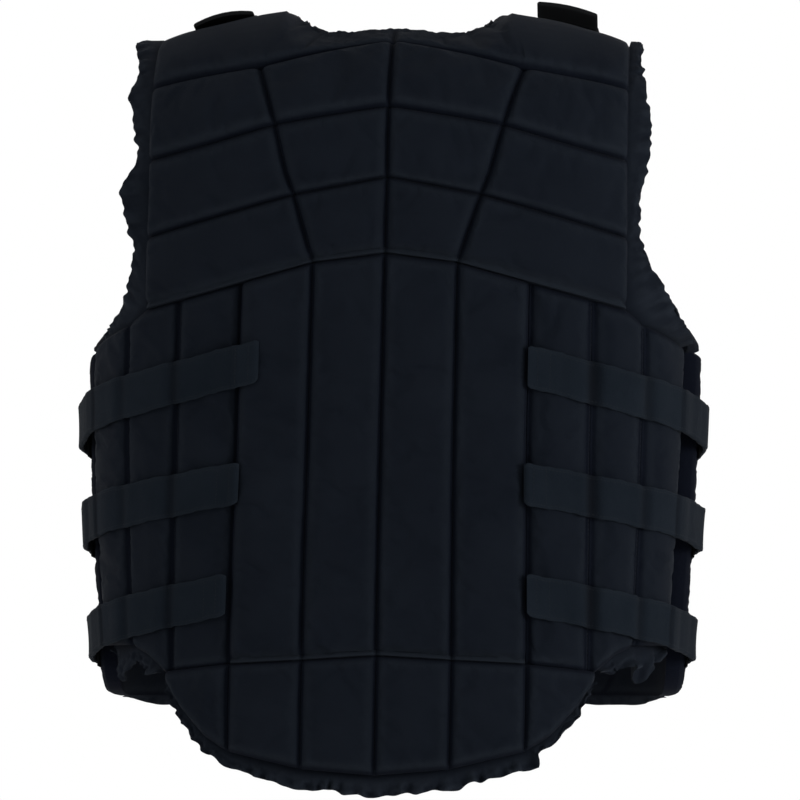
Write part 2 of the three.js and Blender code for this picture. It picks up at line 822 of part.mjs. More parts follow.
addPiece('back_yoke', yoke.geometry, navy);
addPiece('back_bars', backBars().geometry, navy);
addPiece('back_tail', tail.geometry, navy);
addPiece('neck_trim_back', neckBack(yoke), navyTrim);
addPiece('hem_trim_back', hemBack(tail), navyTrim);
addPiece('front_zip', frontZip(), zipBlack);
addPiece('shoulder_tab_left', shoulderTabOver(), hookTape);
addPiece('shoulder_tab_right', shoulderTabUp(), hookTape);

sides.forEach(({ name, sign }) => {
  const wing = backWing(sign);
  const front = frontPanel(sign);
  addPiece(`back_wing_${name}`, wing.geometry, navy);
  addPiece(`front_panel_${name}`, front.geometry, navy);
  addPiece(`armhole_trim_back_${name}`, armholeBack(sign, yoke, wing), navyTrim);
  addPiece(`armhole_trim_front_${name}`, armholeFront(sign, front), navyTrim);
  addPiece(`neck_trim_front_${name}`, neckFront(sign, front), navyTrim);
  addPiece(`wing_hem_${name}`, wingHemCloth(sign, wing), navyTrim);
  addPiece(`hem_trim_front_${name}`, hemFront(sign, front), navyTrim);
  sideStraps.forEach((strap) => {
    addPiece(`strap_anchor_${name}_${strap.name}`, strapAnchor(strap, sign), hookTape);
    addPiece(`side_strap_${name}_${strap.name}`, sideStrap(strap, sign), webbing);
  });
});

export default vest;
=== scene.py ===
"""Looks of a quilted riding vest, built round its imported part. Metres, with +Z up.

A place on the vest is a girth share (0 centre back, 0.5 side, 1 centre front, minus on the left)
and a distance down the back from the shoulder's crest. A height stands off the lining.
"""
import math

import bpy
import numpy as np
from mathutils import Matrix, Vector


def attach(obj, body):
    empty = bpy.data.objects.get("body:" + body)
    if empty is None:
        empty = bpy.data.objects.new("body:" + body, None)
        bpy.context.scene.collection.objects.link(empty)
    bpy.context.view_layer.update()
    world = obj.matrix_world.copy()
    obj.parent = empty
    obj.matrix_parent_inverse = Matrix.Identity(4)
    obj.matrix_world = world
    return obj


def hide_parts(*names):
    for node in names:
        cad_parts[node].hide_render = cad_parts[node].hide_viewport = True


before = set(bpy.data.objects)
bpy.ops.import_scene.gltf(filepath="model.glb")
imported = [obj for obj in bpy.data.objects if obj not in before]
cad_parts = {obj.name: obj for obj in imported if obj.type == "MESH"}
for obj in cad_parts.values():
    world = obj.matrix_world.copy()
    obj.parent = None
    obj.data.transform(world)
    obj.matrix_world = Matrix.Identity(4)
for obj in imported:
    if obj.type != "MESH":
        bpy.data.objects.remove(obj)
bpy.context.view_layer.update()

# Camera: level, with a long lens, a little to the right of straight behind
CAMERA_TURN = math.radians(4.5)
CAMERA_LENS = 1000
SENSOR_WIDTH = 36
VIEW_WIDTH = 0.56
VIEW_CENTRE_ACROSS = 0.0035
VIEW_CENTRE_UP = -0.2486
CAMERA_REACH = 40
CAMERA_RIGHT = np.array([math.cos(CAMERA_TURN), math.sin(CAMERA_TURN), 0])

# Form of the vest
BACK_LENGTH = 0.54
SHOULDER_TURN = 0.12
SHOULDER_DEPTH = 0.09
HALF_WIDTH = 0.197
BACK_DEPTH = 0.109
FRONT_DEPTH = 0.114
SQUARENESS = 2.3
CREST_PEAK = 0.016
CREST_FALL = 0.023
CREST_REACH = 0.8
FRONT_STAND_OFF = 0.0035

# Thickness of the pads and cloth
CHANNEL = 0.004
YOKE_THICKNESS = 0.016
BAR_THICKNESS = 0.016
TAIL_THICKNESS = 0.015
WING_THICKNESS = 0.012
FRONT_THICKNESS = 0.014
TRIM_THICKNESS = 0.0013
STRAP_THICKNESS = 0.0025
ANCHOR_THICKNESS = 0.0012
TAB_THICKNESS = 0.0026

# Widths and clearances
SEAM_GAP = 0.0004
REST_GAP = 0.0004
HEM_CLEARANCE = 0.002
PAD_TOUCH = 0.0002
STRAP_WIDTH = 0.03
ANCHOR_OVERHANG = 0.004
TAB_WIDTH = 0.044
ZIP_HALF_WIDTH = 0.008
NECK_TRIM_WIDTH = 0.0058
FRONT_TRIM_WIDTH = 0.007
WING_HEM_LEAST = 0.0125
WING_HEM_MOST = 0.025
ARMHOLE_RISE = 0.0085
FRILL_LIFT = 0.005
NECK_LIFT = 0.0018
HEM_LIFT = 0.003
TAB_RISE = 0.009
TAB_OVERHANG = 0.024
TAB_SPRING = 0.0045
TUCK = 0.0009

# Seams and edges across the back, as girth shares
CENTRE = 0.0
INNER = 0.0995
OUTER = 0.198
WING_FIRST = 0.287
WING_SECOND = 0.365
YOKE_SIDE = 0.336
NECK_SIDE = 0.1455
WING_EDGE = 0.453
TAIL_END = 0.298
FRONT_EDGE = 0.525

# Section of the lining: where it lies down the back, and its shares of the three half sizes
FORM_SECTIONS = np.array([
    (0.222, 1.0, 0.955, 0.95),
    (0.333, 1.005, 1.0, 1.0),
    (0.5, 1.01, 0.963, 0.965),
    (0.667, 0.995, 0.917, 0.912),
    (0.852, 0.965, 0.917, 0.912),
    (1.056, 0.955, 0.972, 0.93),
])

# How the back's cover sits on the wearer: it leans to one side on its way down, and spreads at
# the outer seam. Both are girth shares, and fade out between the two fade shares. The whole vest
# sways to the left on its way down.
LEAN_TOP = 0.0105
LEAN_FALL = 0.0147
DRAPE_FADE_START = 0.2
DRAPE_FADE_END = 0.45
SWAY_FALL = 0.0035
SWAY_START = 0.2
SWAY_END = 0.8
SEAM_SPREAD = np.array([
    (0, -0.002),
    (0.25, -0.0045),
    (0.55, -0.0035),
    (0.72, 0.0042),
    (0.83, 0.0098),
    (0.92, 0.0122),
    (1.06, 0.012),
])

# Seam crossings of the yoke: centre down, diagonal's girth, diagonal's down, side down
YOKE_ROWS = np.array([
    (0.07, NECK_SIDE, 0.0, 0.0),
    (0.0965, 0.182, 0.12, 0.1245),
    (0.1655, 0.157, 0.18, 0.21),
    (0.229, 0.129, 0.2535, 0.309),
    (0.328, INNER, 0.3395, 0.4),
])

# Edges that run round the vest: girth share against share of the back length
NECKLINE = np.array([(0, 0.07), (0.06, 0.0755), (0.1, 0.0715), (0.133, 0.047), (NECK_SIDE, 0)])
YOKE_HEM = np.array([(0, 0.328), (INNER, 0.3395), (YOKE_SIDE, 0.4)])
WING_TOP = np.array([(OUTER, 0.3647), (YOKE_SIDE, 0.4), (0.365, 0.42), (WING_EDGE, 0.45)])
WAIST_SEAM = np.array([(0, 0.846), (INNER, 0.852), (OUTER, 0.857), (TAIL_END, 0.867)])
WING_HEM = np.array([
    (OUTER, 0.857),
    (TAIL_END, 0.867),
    (0.33, 0.845),
    (WING_SECOND, 0.832),
    (WING_EDGE, 0.833),
])
TAIL_HEM = np.array([
    (0, 1.0),
    (INNER, 0.992),
    (OUTER, 0.97),
    (0.232, 0.95),
    (0.268, 0.914),
    (TAIL_END, 0.875),
])

# A front half: down, armhole side and neck side
FRONT_ROWS = np.array([
    (0.0, 1 - YOKE_SIDE, 1 - NECK_SIDE),
    (0.1, 0.684, 0.892),
    (0.15, 0.696, 0.925),
    (0.19, 0.702, 0.957),
    (0.213, 0.703, 1),
    (0.3, 0.688, 1),
    (0.37, 0.645, 1),
    (0.42, 0.584, 1),
    (0.455, FRONT_EDGE, 1),
    (0.855, FRONT_EDGE, 1),
    (0.863, 0.5258, 1),
    (0.871, 0.5284, 1),
    (0.879, 0.533, 1),
    (0.885, 0.538, 1),
    (0.89, 0.5435, 1),
    (0.894, 0.55, 1),
    (0.898, 0.559, 1),
    (0.9, 0.572, 1),
])
FRONT_SEAMS = np.array([0, 0.12, 0.213, 0.33, 0.455, 0.9])
FRONT_COLUMNS = 3

# Free edge of the cloth at the back of the armhole: share of the sewn edge, girth, down
ARMHOLE_FREE = np.array([
    (0, 0.366, 0.004),
    (0.15, 0.364, 0.078),
    (0.35, 0.362, 0.18),
    (0.5, 0.36, 0.259),
    (0.62, 0.3605, 0.323),
    (0.7, 0.369, 0.348),
    (0.77, 0.38, 0.376),
    (0.85, 0.397, 0.408),
    (0.93, 0.43, 0.431),
    (1, 0.457, 0.443),
])

# Side straps: name, start on the left, start on the right, centre line's start and side
SIDE_STRAPS = (
    ("upper", 0.168, 0.196, 0.469, 0.546),
    ("middle", 0.19, 0.193, 0.621, 0.677),
    ("lower", 0.202, 0.197, 0.765, 0.82),
)
STRAP_REFERENCE = 0.19
STRAP_END = 0.62
STRAP_TURN = 0.425
ANCHOR_START = 0.532
ANCHOR_END = 0.612
TAB_PLACE = 0.766
TAB_SEWN_DOWN = 0.17
TAB_BEND = 0.03

# Seams of the quilting: how round a block's edge is, and the half width and height of a seam's floor
EDGE_ROUND = 0.0062
EDGE_POWER = 2.3
UPRIGHT_FLOOR = 0.0016
LEVEL_FLOOR = 0.0011
WING_FLOOR = {-1: 0.0019, 1: 0.0028}
FLOOR_SHARE = 0.7
WING_FLOOR_SHARE = 0.5
FLOOR_START = -0.0022
FLOOR_END = 0.0009
CREST_LIFT = 0.35
CREST_REACH_DOWN = 0.034

# Raised sewn lip at the lower edge of a pad, and the groove above it
LIP_SHARE = 0.8
LIP_RISE = 0.0012
LIP_PLACE = 0.0017
LIP_SPREAD = 0.0013
GROOVE_SHARE = 0.2
GROOVE_PLACE = 0.0042
GROOVE_SPREAD = 0.0022
GROOVE_START = 0.004
GROOVE_END = 0.011

# Unevenness of a pad's cover: puckers and tucks beside the seams, swells between them
COVER_SINK = 0.0006
PUCKER_PITCH = 0.006
TUCK_PITCH = 0.008
PUCKER_DEPTH = 0.00022
PUCKER_REACH = 0.004
PUCKER_STRETCH = 0.25
SWELL_PITCH = 0.045
SWELL_DEPTH = 0.00028
CROWN_DEPTH = 0.0008
CROWN_REACH = 0.024

# Painted light on a pad: painted shade where its channels darken, painted highlights on its block edges,
# groove and lip, and how strong the painted shadow down a front's side is
CHANNEL_SHADE_START = 0.0004
CHANNEL_SHADE_END = 0.0014
BLOCK_EDGE_PLACE = 0.0034
BLOCK_EDGE_SPREAD = 0.0026
BLOCK_EDGE_HIGHLIGHT = 0.35
GROOVE_HIGHLIGHT = 0.45
LIP_HIGHLIGHT = 1.2
SIDE_SHADOW_STRENGTH = 1.7

# Simulated cover: the cloth's settings, and how far it may move from where it starts
COVER_FRAMES = 10
COVER_CLOTH = {
    "quality": 4,
    "mass": 0.3,
    "tension_stiffness": 25,
    "compression_stiffness": 25,
    "shear_stiffness": 8,
    "bending_stiffness": 0.6,
    "vertex_group_mass": "sewn",
    "pin_stiffness": 2,
    "shrink_min": -0.028,
    "use_pressure": True,
    "uniform_pressure_force": 1.2,
}
COVER_CAP_OUT = 0.0012
COVER_CAP_IN = 0.0007
COVER_CAP_ALONG = 0.0008
PIN_START = 0.0016
PIN_REACH = 0.0025

# Painted shadow down the side of a front half, where the gap between it and the wing falls dark
SIDE_SHADOW_WIDTH = 0.016
SIDE_SHADOW_FADE = 0.012
SIDE_SHADOW_TOP = 0.44

# Sheets: the least cut width, the gathers' share of the cut length and the least area share
MIN_CUT_WIDTH = 0.0101
GATHER_SHARE = 1.15
MIN_AREA_SHARE = 0.31
FRILL_STEP = 0.0011
FRILL_MIN_STEPS = 24

# Gathered cloth: how its gathers wander, and how it crumples
GATHER_SCALES = (2.3, 3.7, 5.9, 9.7)
ROUGH_PITCH_SHARE = 1.9
CRUMPLE_PITCH = 0.011
FINE_CRUMPLE_PITCH = 0.005
CRUMPLE_STRETCH = 1.3
FRILL_LEAST_HEIGHT = 0.0008
FRILL_END_SHARE = 0.15
REACH_POWER = 1.4
NEAR_SEAM = np.array([0, 0.0006, 0.0012, 0.0016, 0.0022, 0.003, 0.004, 0.0053, 0.0072, 0.0095])
CLOTH_STEP = 0.0026
ON_SEAM = 1e-6
FULL_PHASE = 6.3

SIDES = (("left", -1), ("right", 1))
SIDE_NAMES = {sign: label for label, sign in SIDES}


def new_object(name, data):
    thing = bpy.data.objects.new(name, data)
    bpy.context.collection.objects.link(thing)
    return thing


def aim(thing, place, direction):
    thing.location = place
    thing.rotation_mode = "QUATERNION"
    thing.rotation_quaternion = direction.to_track_quat("-Z", "Y")


camera_data = bpy.data.cameras.new("camera")
camera_data.lens = CAMERA_LENS
camera_data.sensor_width = SENSOR_WIDTH
camera_data.clip_end = CAMERA_REACH
camera = new_object("camera", camera_data)
camera_back = Vector((math.sin(CAMERA_TURN), -math.cos(CAMERA_TURN), 0))
aim_point = Vector(CAMERA_RIGHT) * VIEW_CENTRE_ACROSS + Vector((0, 0, VIEW_CENTRE_UP))
aim(camera, aim_point + camera_back * (VIEW_WIDTH * CAMERA_LENS / SENSOR_WIDTH), -camera_back)
bpy.context.scene.camera = camera
bpy.context.scene.view_settings.view_transform = "Standard"


def smoothstep(value, low, high):
    share = np.clip((value - low) / (high - low), 0, 1)
    return share * share * (3 - 2 * share)


def bell(value, width):
    return np.exp(-((value / width) ** 2))


def ripple(distance, pitch, phase=0.0):
    return np.sin(distance / pitch * 2 * math.pi + phase)


def mix(low, high, share):
    return low + (high - low) * share


def read_line(rows, at, column=1):
    """Straight reading of one column of a table against its first column."""
    return np.interp(at, rows[:, 0], rows[:, column])


def read_curve(rows, column, at):
    """Smooth reading of one column of a table against its first column."""
    keys = rows[:, 0]
    values = rows[:, column]
    last = len(keys) - 1
    row = np.searchsorted(keys[1:last], at, side="left")
    span = keys[row + 1] - keys[row]
    share = np.clip((at - keys[row]) / span, 0, 1)
    slopes = np.zeros(last + 1)
    slopes[1:last] = (values[2:] - values[:-2]) / (keys[2:] - keys[:-2])
    square = share * share
    cube = square * share
    return (
        (2 * cube - 3 * square + 1) * values[row]
        + (cube - 2 * square + share) * span * slopes[row]
        + (3 * square - 2 * cube) * values[row + 1]
        + (cube - square) * span * slopes[row + 1]
    )


# Distances round the lining, so that a girth share can be turned into an angle
GIRTH_ANGLES = np.linspace(0, math.pi, 721)
ROUND_POWER = 2 / SQUARENESS


def section(angle):
    depth = np.where(np.cos(angle) > 0, -BACK_DEPTH, FRONT_DEPTH)
    across = HALF_WIDTH * np.abs(np.sin(angle)) ** ROUND_POWER
    return across, depth * np.abs(np.cos(angle)) ** ROUND_POWER


def girth_lengths():
    across, depth = section(GIRTH_ANGLES)
    steps = np.hypot(np.diff(across), np.diff(depth))
    return np.concatenate([[0], np.cumsum(steps)])


GIRTH_LENGTHS = girth_lengths()
HALF_GIRTH = GIRTH_LENGTHS[-1]
GAP_SHARE = SEAM_GAP / 2 / HALF_GIRTH


def worn_girth(girth, level):
    """A girth share as it is worn, moved by the cover's lean and spread."""
    near = 1 - smoothstep(np.abs(girth), DRAPE_FADE_START, DRAPE_FADE_END)
    spread = read_curve(SEAM_SPREAD, 1, level) / OUTER
    return girth + near * (LEAN_TOP - LEAN_FALL * level + spread * girth)


def lining_point(girth, down):
    girth, down = np.broadcast_arrays(np.asarray(girth, float), np.asarray(down, float))
    girth = worn_girth(girth, down / BACK_LENGTH)
    beyond = np.abs(girth) > 1
    share = np.where(beyond, 2 - np.abs(girth), np.abs(girth))
    side = np.where(girth < 0, -1.0, 1.0) * np.where(beyond, -1.0, 1.0)
    angle = np.interp(share, GIRTH_LENGTHS / HALF_GIRTH, GIRTH_ANGLES)
    level = np.maximum(down, SHOULDER_TURN) / BACK_LENGTH
    on_back = np.cos(angle) > 0
    width = read_curve(FORM_SECTIONS, 1, level)
    back = read_curve(FORM_SECTIONS, 2, level)
    front = read_curve(FORM_SECTIONS, 3, level)
    across, depth = section(angle)
    x = side * width * across - SWAY_FALL * smoothstep(level, SWAY_START, SWAY_END)
    y = depth * np.where(on_back, back, front)
    turn = np.clip((SHOULDER_TURN - down) / SHOULDER_TURN, 0, 2) * (math.pi / 2)
    crest = CREST_PEAK - CREST_FALL * (x / (HALF_WIDTH * CREST_REACH)) ** 2
    z_shoulder = -SHOULDER_DEPTH + (crest + SHOULDER_DEPTH) * np.sin(turn)
    z_back = -SHOULDER_DEPTH - (down - SHOULDER_TURN)
    below = down >= SHOULDER_TURN
    z = np.where(below, z_back, z_shoulder)
    return np.stack([x, np.where(below, y, y * np.cos(turn)), z], axis=-1)


def outward_at(girth, down):
    girth_step = 0.003
    down_step = 0.0012
    across = lining_point(girth + girth_step, down) - lining_point(girth - girth_step, down)
    along = lining_point(girth, down + down_step) - lining_point(girth, down - down_step)
    outward = np.cross(along, across)
    return outward / np.linalg.norm(outward, axis=-1, keepdims=True)


def vest_point(girth, down, height):
    girth = np.asarray(girth, float)
    down = np.asarray(down, float)
    height = np.broadcast_to(height, np.broadcast(girth, down).shape)
    return lining_point(girth, down) + outward_at(girth, down) * height[..., None]


def wave_noise(across, along, pitch, seed, waves=7):
    """Soft noise of about one, from sines in many directions with a fixed seed."""
    draw = np.random.default_rng(seed)
    total = np.zeros(np.broadcast(across, along).shape)
    for _ in range(waves):
        turn = draw.uniform(0, math.pi)
        size = 2 * math.pi / (pitch * draw.uniform(0.7, 1.5))
        phase = draw.uniform(0, 2 * math.pi)
        total += np.sin((across * math.cos(turn) + along * math.sin(turn)) * size + phase)
    return total / math.sqrt(waves)


# Meshes

def add_mesh(name, points, faces, uv=None, shades=None, crease=50):
    """A smooth mesh object at the origin, with a UV map in metres and named shares at its points."""
    mesh = bpy.data.meshes.new(name)
    mesh.from_pydata(points.tolist(), [], faces.tolist())
    mesh.polygons.foreach_set("use_smooth", [True] * len(mesh.polygons))
    if uv is not None:
        layer = mesh.uv_layers.new(name="UVMap")
        corners = np.empty(len(mesh.loops), dtype=np.int32)
        mesh.loops.foreach_get("vertex_index", corners)
        layer.data.foreach_set("uv", uv[corners].astype(np.float32).ravel())
    for key, values in (shades or {}).items():
        attribute = mesh.attributes.new(key, "FLOAT", "POINT")
        attribute.data.foreach_set("value", values.astype(np.float32))
    mesh.update()
    mesh.set_sharp_from_angle(angle=math.radians(crease))
    return new_object(name, mesh)


def grid_quads(at):
    return np.stack([at[:-1, :-1], at[1:, :-1], at[1:, 1:], at[:-1, 1:]], axis=-1).reshape(-1, 4)


def wall_faces(rows, columns):
    offset = rows * columns
    at = np.arange(offset).reshape(rows, columns)
    quads = grid_quads(at)
    rim = np.concatenate([at[0, :-1], at[:-1, -1], at[-1, :0:-1], at[:0:-1, 0]])
    after = np.roll(rim, -1)
    sides = np.stack([rim, after, after + offset, rim + offset], axis=-1)
    return np.concatenate([quads, quads[:, ::-1] + offset, sides])


def face_out(points, faces):
    """The faces, turned where they would point into the closed shape."""
    a, b, c, d = (points[faces[:, corner]] for corner in range(4))
    volume = (a * np.cross(b, c)).sum() + (a * np.cross(c, d)).sum()
    return faces if volume > 0 else faces[:, ::-1]


def wall(name, outer, inner, uv, shades=None, crease=50):
    """A closed wall between two grids of points."""
    rows, columns = outer.shape[:2]
    points = np.concatenate([outer.reshape(-1, 3), inner.reshape(-1, 3)])
    faces = face_out(points, wall_faces(rows, columns))
    both = np.concatenate([uv.reshape(-1, 2)] * 2)
    doubled = {key: np.concatenate([grid.ravel()] * 2) for key, grid in (shades or {}).items()}
    return add_mesh(name, points, faces, both, doubled, crease)


def flat_map(across, along):
    """A UV grid from two lengths in metres."""
    return np.stack(np.broadcast_arrays(across, along), axis=-1)


def plain_shades(shape):
    return {"seam": np.zeros(shape), "edge": np.zeros(shape)}


# Quilted pads

def block_steps(length):
    """Steps across a block from 0 to 1, closer beside its seams."""
    near = NEAR_SEAM[NEAR_SEAM < length * 0.4] / length
    count = max(2, round((1 - 2 * near[-1]) * length / CLOTH_STEP))
    middle = np.linspace(near[-1], 1 - near[-1], count + 1)
    return np.concatenate([near[:-1], middle, 1 - near[:-1][::-1]])


def chained(lengths):
    steps = [block + block_steps(length)[:-1] for block, length in enumerate(lengths)]
    return np.concatenate(steps + [[len(lengths)]])


def rounded(distance, floor, floor_share=FLOOR_SHARE):
    """Share of a pad's full height beside a seam, whose soft floor has that half width."""
    reach = np.clip((distance - floor) / EDGE_ROUND, 0, 1)
    rise = (1 - (1 - reach) ** EDGE_POWER) ** (1 / EDGE_POWER)
    sunk = floor_share * smoothstep(distance, FLOOR_START, FLOOR_END)
    return sunk + (1 - floor_share) * rise


def lipped(distance):
    """Share of a pad's height at an edge that ends in a raised sewn lip."""
    rise = LIP_SHARE * smoothstep(distance, -LIP_RISE / 2, LIP_RISE)
    dip = GROOVE_SHARE * bell(distance - GROOVE_PLACE, LIP_RISE)
    return rise - dip + GROOVE_SHARE * smoothstep(distance, GROOVE_START, GROOVE_END)


def run_cloth(name, points, pinned):
    """The outer face of a pad after a short cloth simulation that lets its cover swell and pucker."""
    rows, columns = points.shape[:2]
    quads = grid_quads(np.arange(rows * columns).reshape(rows, columns))
    cover = add_mesh(f"{name}_cover", points.reshape(-1, 3), quads)
    group = cover.vertex_groups.new(name="sewn")
    weights = pinned.ravel()
    for vertex in np.flatnonzero(weights > 0).tolist():
        group.add([vertex], float(weights[vertex]), "REPLACE")
    modifier = cover.modifiers.new("cloth", "CLOTH")
    for key, value in COVER_CLOTH.items():
        setattr(modifier.settings, key, value)
    modifier.settings.effector_weights.gravity = 0
    modifier.collision_settings.use_collision = False
    modifier.point_cache.frame_start = 1
    modifier.point_cache.frame_end = COVER_FRAMES
    scene = bpy.context.scene
    for number in range(1, COVER_FRAMES + 1):
        scene.frame_set(number)
    shaped = cover.evaluated_get(bpy.context.evaluated_depsgraph_get())
    found = np.empty(rows * columns * 3, dtype=np.float32)
    shaped.data.vertices.foreach_get("co", found)
    scene.frame_set(1)
    bpy.data.objects.remove(cover, do_unlink=True)
    return found.astype(float).reshape(rows, columns, 3)


def flat_base(girth, down):
    return np.zeros(np.broadcast(girth, down).shape)


def front_base(girth, down):
    return FRONT_STAND_OFF * smoothstep(down, 0, SHOULDER_TURN) + np.zeros(np.shape(girth))


class Pad:
    """A quilted pad's grid: girth and down at each point, and how far the nearest seams lie."""

    def __init__(self, name, place, columns, rows, thickness, base=flat_base, top_crest=False, lip=False,
                 open_seam=None, seed=1, floor=UPRIGHT_FLOOR, floor_share=FLOOR_SHARE):
        self.name = name
        middle_row = rows / 2
        middle_column = columns / 2 + 0.5
        across = [self.run(place, (u, middle_row), (u + 1, middle_row)) for u in range(columns)]
        down = [self.run(place, (middle_column, v), (middle_column, v + 1)) for v in range(rows)]
        grid_u, grid_v = np.meshgrid(chained(across), chained(down))
        self.girth, self.down = place(grid_u, grid_v)
        column = np.minimum(np.floor(grid_u), columns - 1)
        row = np.minimum(np.floor(grid_v), rows - 1)
        width = self.block_length(place, column, grid_v, 1, 0)
        height = self.block_length(place, grid_u, row, 0, 1)
        before = (grid_u - column) * width
        after = (column + 1 - grid_u) * width
        if open_seam is not None:
            before = np.where(open_seam(column, grid_v), 1.0, before)
            after = np.where(open_seam(column + 1, grid_v), 1.0, after)
        above = (grid_v - row) * height
        below = (row + 1 - grid_v) * height
        beside = np.minimum(before, after)
        level = np.minimum(above, below)
        nearest = np.minimum(beside, level)
        top_share = rounded(above, LEVEL_FLOOR)
        bottom_share = rounded(below, LEVEL_FLOOR)
        if top_crest:
            crest = CREST_LIFT + (1 - CREST_LIFT) * smoothstep(above, 0, CREST_REACH_DOWN)
            top_share = np.where(row == 0, crest, top_share)
            nearest = np.where(row == 0, np.minimum(beside, below), nearest)
        if lip:
            bottom_share = np.where(row == rows - 1, lipped(below), bottom_share)
        share = rounded(beside, floor, floor_share) * top_share * bottom_share
        reach = self.girth * HALF_GIRTH
        pucker = wave_noise(reach * PUCKER_STRETCH, self.down, PUCKER_PITCH, seed)
        tuck = wave_noise(reach, self.down * PUCKER_STRETCH, TUCK_PITCH, seed + 1)
        gathers = pucker * np.exp(-beside / PUCKER_REACH) + tuck * np.exp(-level / PUCKER_REACH)
        swell = wave_noise(reach, self.down, SWELL_PITCH, seed + 2) * SWELL_DEPTH
        uneven = (PUCKER_DEPTH * gathers + swell) * smoothstep(nearest, 0, PUCKER_REACH)
        crown = CROWN_DEPTH * smoothstep(nearest, PUCKER_REACH, CROWN_REACH)
        self.height = CHANNEL + (thickness - CHANNEL - COVER_SINK) * share + uneven + crown * share
        self.nearest = nearest
        self.floor = floor
        self.lip = bell(below - LIP_PLACE, LIP_SPREAD) * (row == rows - 1) * lip
        self.groove = bell(below - GROOVE_PLACE, GROOVE_SPREAD)
        # Painted shadow along the side of a front half, below the armhole
        side_reach = (np.abs(self.girth) - FRONT_EDGE) * HALF_GIRTH
        on_side = (np.abs(self.girth) > 0.5) * (self.down > SIDE_SHADOW_TOP * BACK_LENGTH)
        self.side_shadow = smoothstep(side_reach, SIDE_SHADOW_WIDTH, SIDE_SHADOW_FADE) * on_side
        self.base = base(self.girth, self.down)
        self.inner = vest_point(self.girth, self.down, self.base)
        self.outer = vest_point(self.girth, self.down, self.base + self.height)

    @staticmethod
    def run(place, start, end):
        ends = (place(np.array([u], float), np.array([v], float)) for u, v in (start, end))
        first, last = (lining_point(*end) for end in ends)
        return float(np.linalg.norm(last - first))

    @staticmethod
    def block_length(place, u, v, step_u, step_v):
        first = lining_point(*place(u, v))
        last = lining_point(*place(u + step_u - ON_SEAM * step_u, v + step_v - ON_SEAM * step_v))
        return np.linalg.norm(last - first, axis=-1)

    def swollen(self):
        """The outer face with its cover simulated, held near to where it starts."""
        pinned = np.clip(1 - (self.nearest - PIN_START) / PIN_REACH, 0, 1)
        for rim in (pinned[0], pinned[-1], pinned[:, 0], pinned[:, -1]):
            rim[:] = 1
        moved = run_cloth(self.name, self.outer, pinned) - self.outer
        normal = outward_at(self.girth, self.down)
        rise = (moved * normal).sum(axis=-1, keepdims=True)
        slide = moved - rise * normal
        length = np.linalg.norm(slide, axis=-1, keepdims=True)
        slide *= np.minimum(1, COVER_CAP_ALONG / np.maximum(length, 1e-9))
        rise = np.clip(rise, -COVER_CAP_IN, COVER_CAP_OUT)
        return self.outer + (rise * normal + slide) * (1 - pinned)[..., None]

    def build(self, simulate):
        """The closed pad, with its cover simulated where that is asked for."""
        outer = self.swollen() if simulate else self.outer
        # Painted light: painted shade in the channels and down a front's side, painted highlights on the
        # block edges, the groove and the lip
        beyond = self.nearest - self.floor
        channel_shade = 1 - smoothstep(beyond, -CHANNEL_SHADE_START, CHANNEL_SHADE_END)
        block_edge_highlight = BLOCK_EDGE_HIGHLIGHT * bell(beyond - BLOCK_EDGE_PLACE, BLOCK_EDGE_SPREAD)
        highlight = np.clip(block_edge_highlight + GROOVE_HIGHLIGHT * self.groove + LIP_HIGHLIGHT * self.lip, 0, 1)
        shades = {
            "seam": channel_shade * (1 - self.lip) + SIDE_SHADOW_STRENGTH * self.side_shadow,
            "edge": highlight * (1 - self.side_shadow),
        }
        uv = flat_map(self.girth * HALF_GIRTH, self.down)
        return wall(self.name, outer, self.inner, uv, shades, crease=70)


def yoke_place(u, v):
    row = np.minimum(np.floor(v), len(YOKE_ROWS) - 2).astype(int)
    share = v - row
    columns = [mix(YOKE_ROWS[row, column], YOKE_ROWS[row + 1, column], share) for column in range(4)]
    centre_down, diagonal, diagonal_down, side_down = columns
    side = np.where(u < 2, -1, 1)
    out = np.abs(u - 2)
    near = out <= 1
    girth = np.where(near, out * diagonal, mix(diagonal, YOKE_SIDE - GAP_SHARE, out - 1))
    down = np.where(near, mix(centre_down, diagonal_down, out), mix(diagonal_down, side_down, out - 1))
    neck = read_line(NECKLINE, out * NECK_SIDE)
    first = mix(YOKE_ROWS[1, 0], YOKE_ROWS[1, 2], out)
    down = np.where(near & (row == 0), mix(neck, first, share), down)
    down = np.maximum(down * BACK_LENGTH, -PAD_TOUCH)
    down = np.where(down < SEAM_GAP, -PAD_TOUCH, down)
    return side * girth, np.where(v >= len(YOKE_ROWS) - 1, down + PAD_TOUCH, down)


def banded_place(lines, top, bottom, bottom_gap, side=1):
    """Place of a pad between two edges, with upright seams at the given girths."""
    lines = np.array(lines)

    def place(u, v):
        girth = np.interp(u, np.arange(len(lines)), lines)
        high = read_line(top, np.abs(girth)) * BACK_LENGTH - PAD_TOUCH
        low = read_line(bottom, np.abs(girth)) * BACK_LENGTH - bottom_gap
        return side * girth, mix(high, low, v)

    return place


def front_place(side):
    def place(u, v):
        down = np.interp(v, np.arange(len(FRONT_SEAMS)), FRONT_SEAMS) * BACK_LENGTH
        down = np.where(down < SEAM_GAP, -PAD_TOUCH, down)
        armhole = read_line(FRONT_ROWS, down / BACK_LENGTH) + GAP_SHARE
        neck = read_line(FRONT_ROWS, down / BACK_LENGTH, 2)
        neck = np.minimum(neck, 1 - (ZIP_HALF_WIDTH + SEAM_GAP) / HALF_GIRTH)
        return side * mix(armhole, neck, u / FRONT_COLUMNS), down

    return place


def short_diagonal(line, v):
    """The yoke's diagonals start at its first seam, so its top row is whole on each side."""
    return (np.abs(line - 2) == 1) & (v < 1)


half_tail = [INNER, OUTER, TAIL_END]
tail_lines = [-share for share in reversed(half_tail)] + [CENTRE] + half_tail
bar_lines = [-OUTER + GAP_SHARE, -INNER, CENTRE, INNER, OUTER - GAP_SHARE]
wing_lines = [OUTER + GAP_SHARE, WING_FIRST, WING_SECOND, WING_EDGE]
half_gap = -PAD_TOUCH

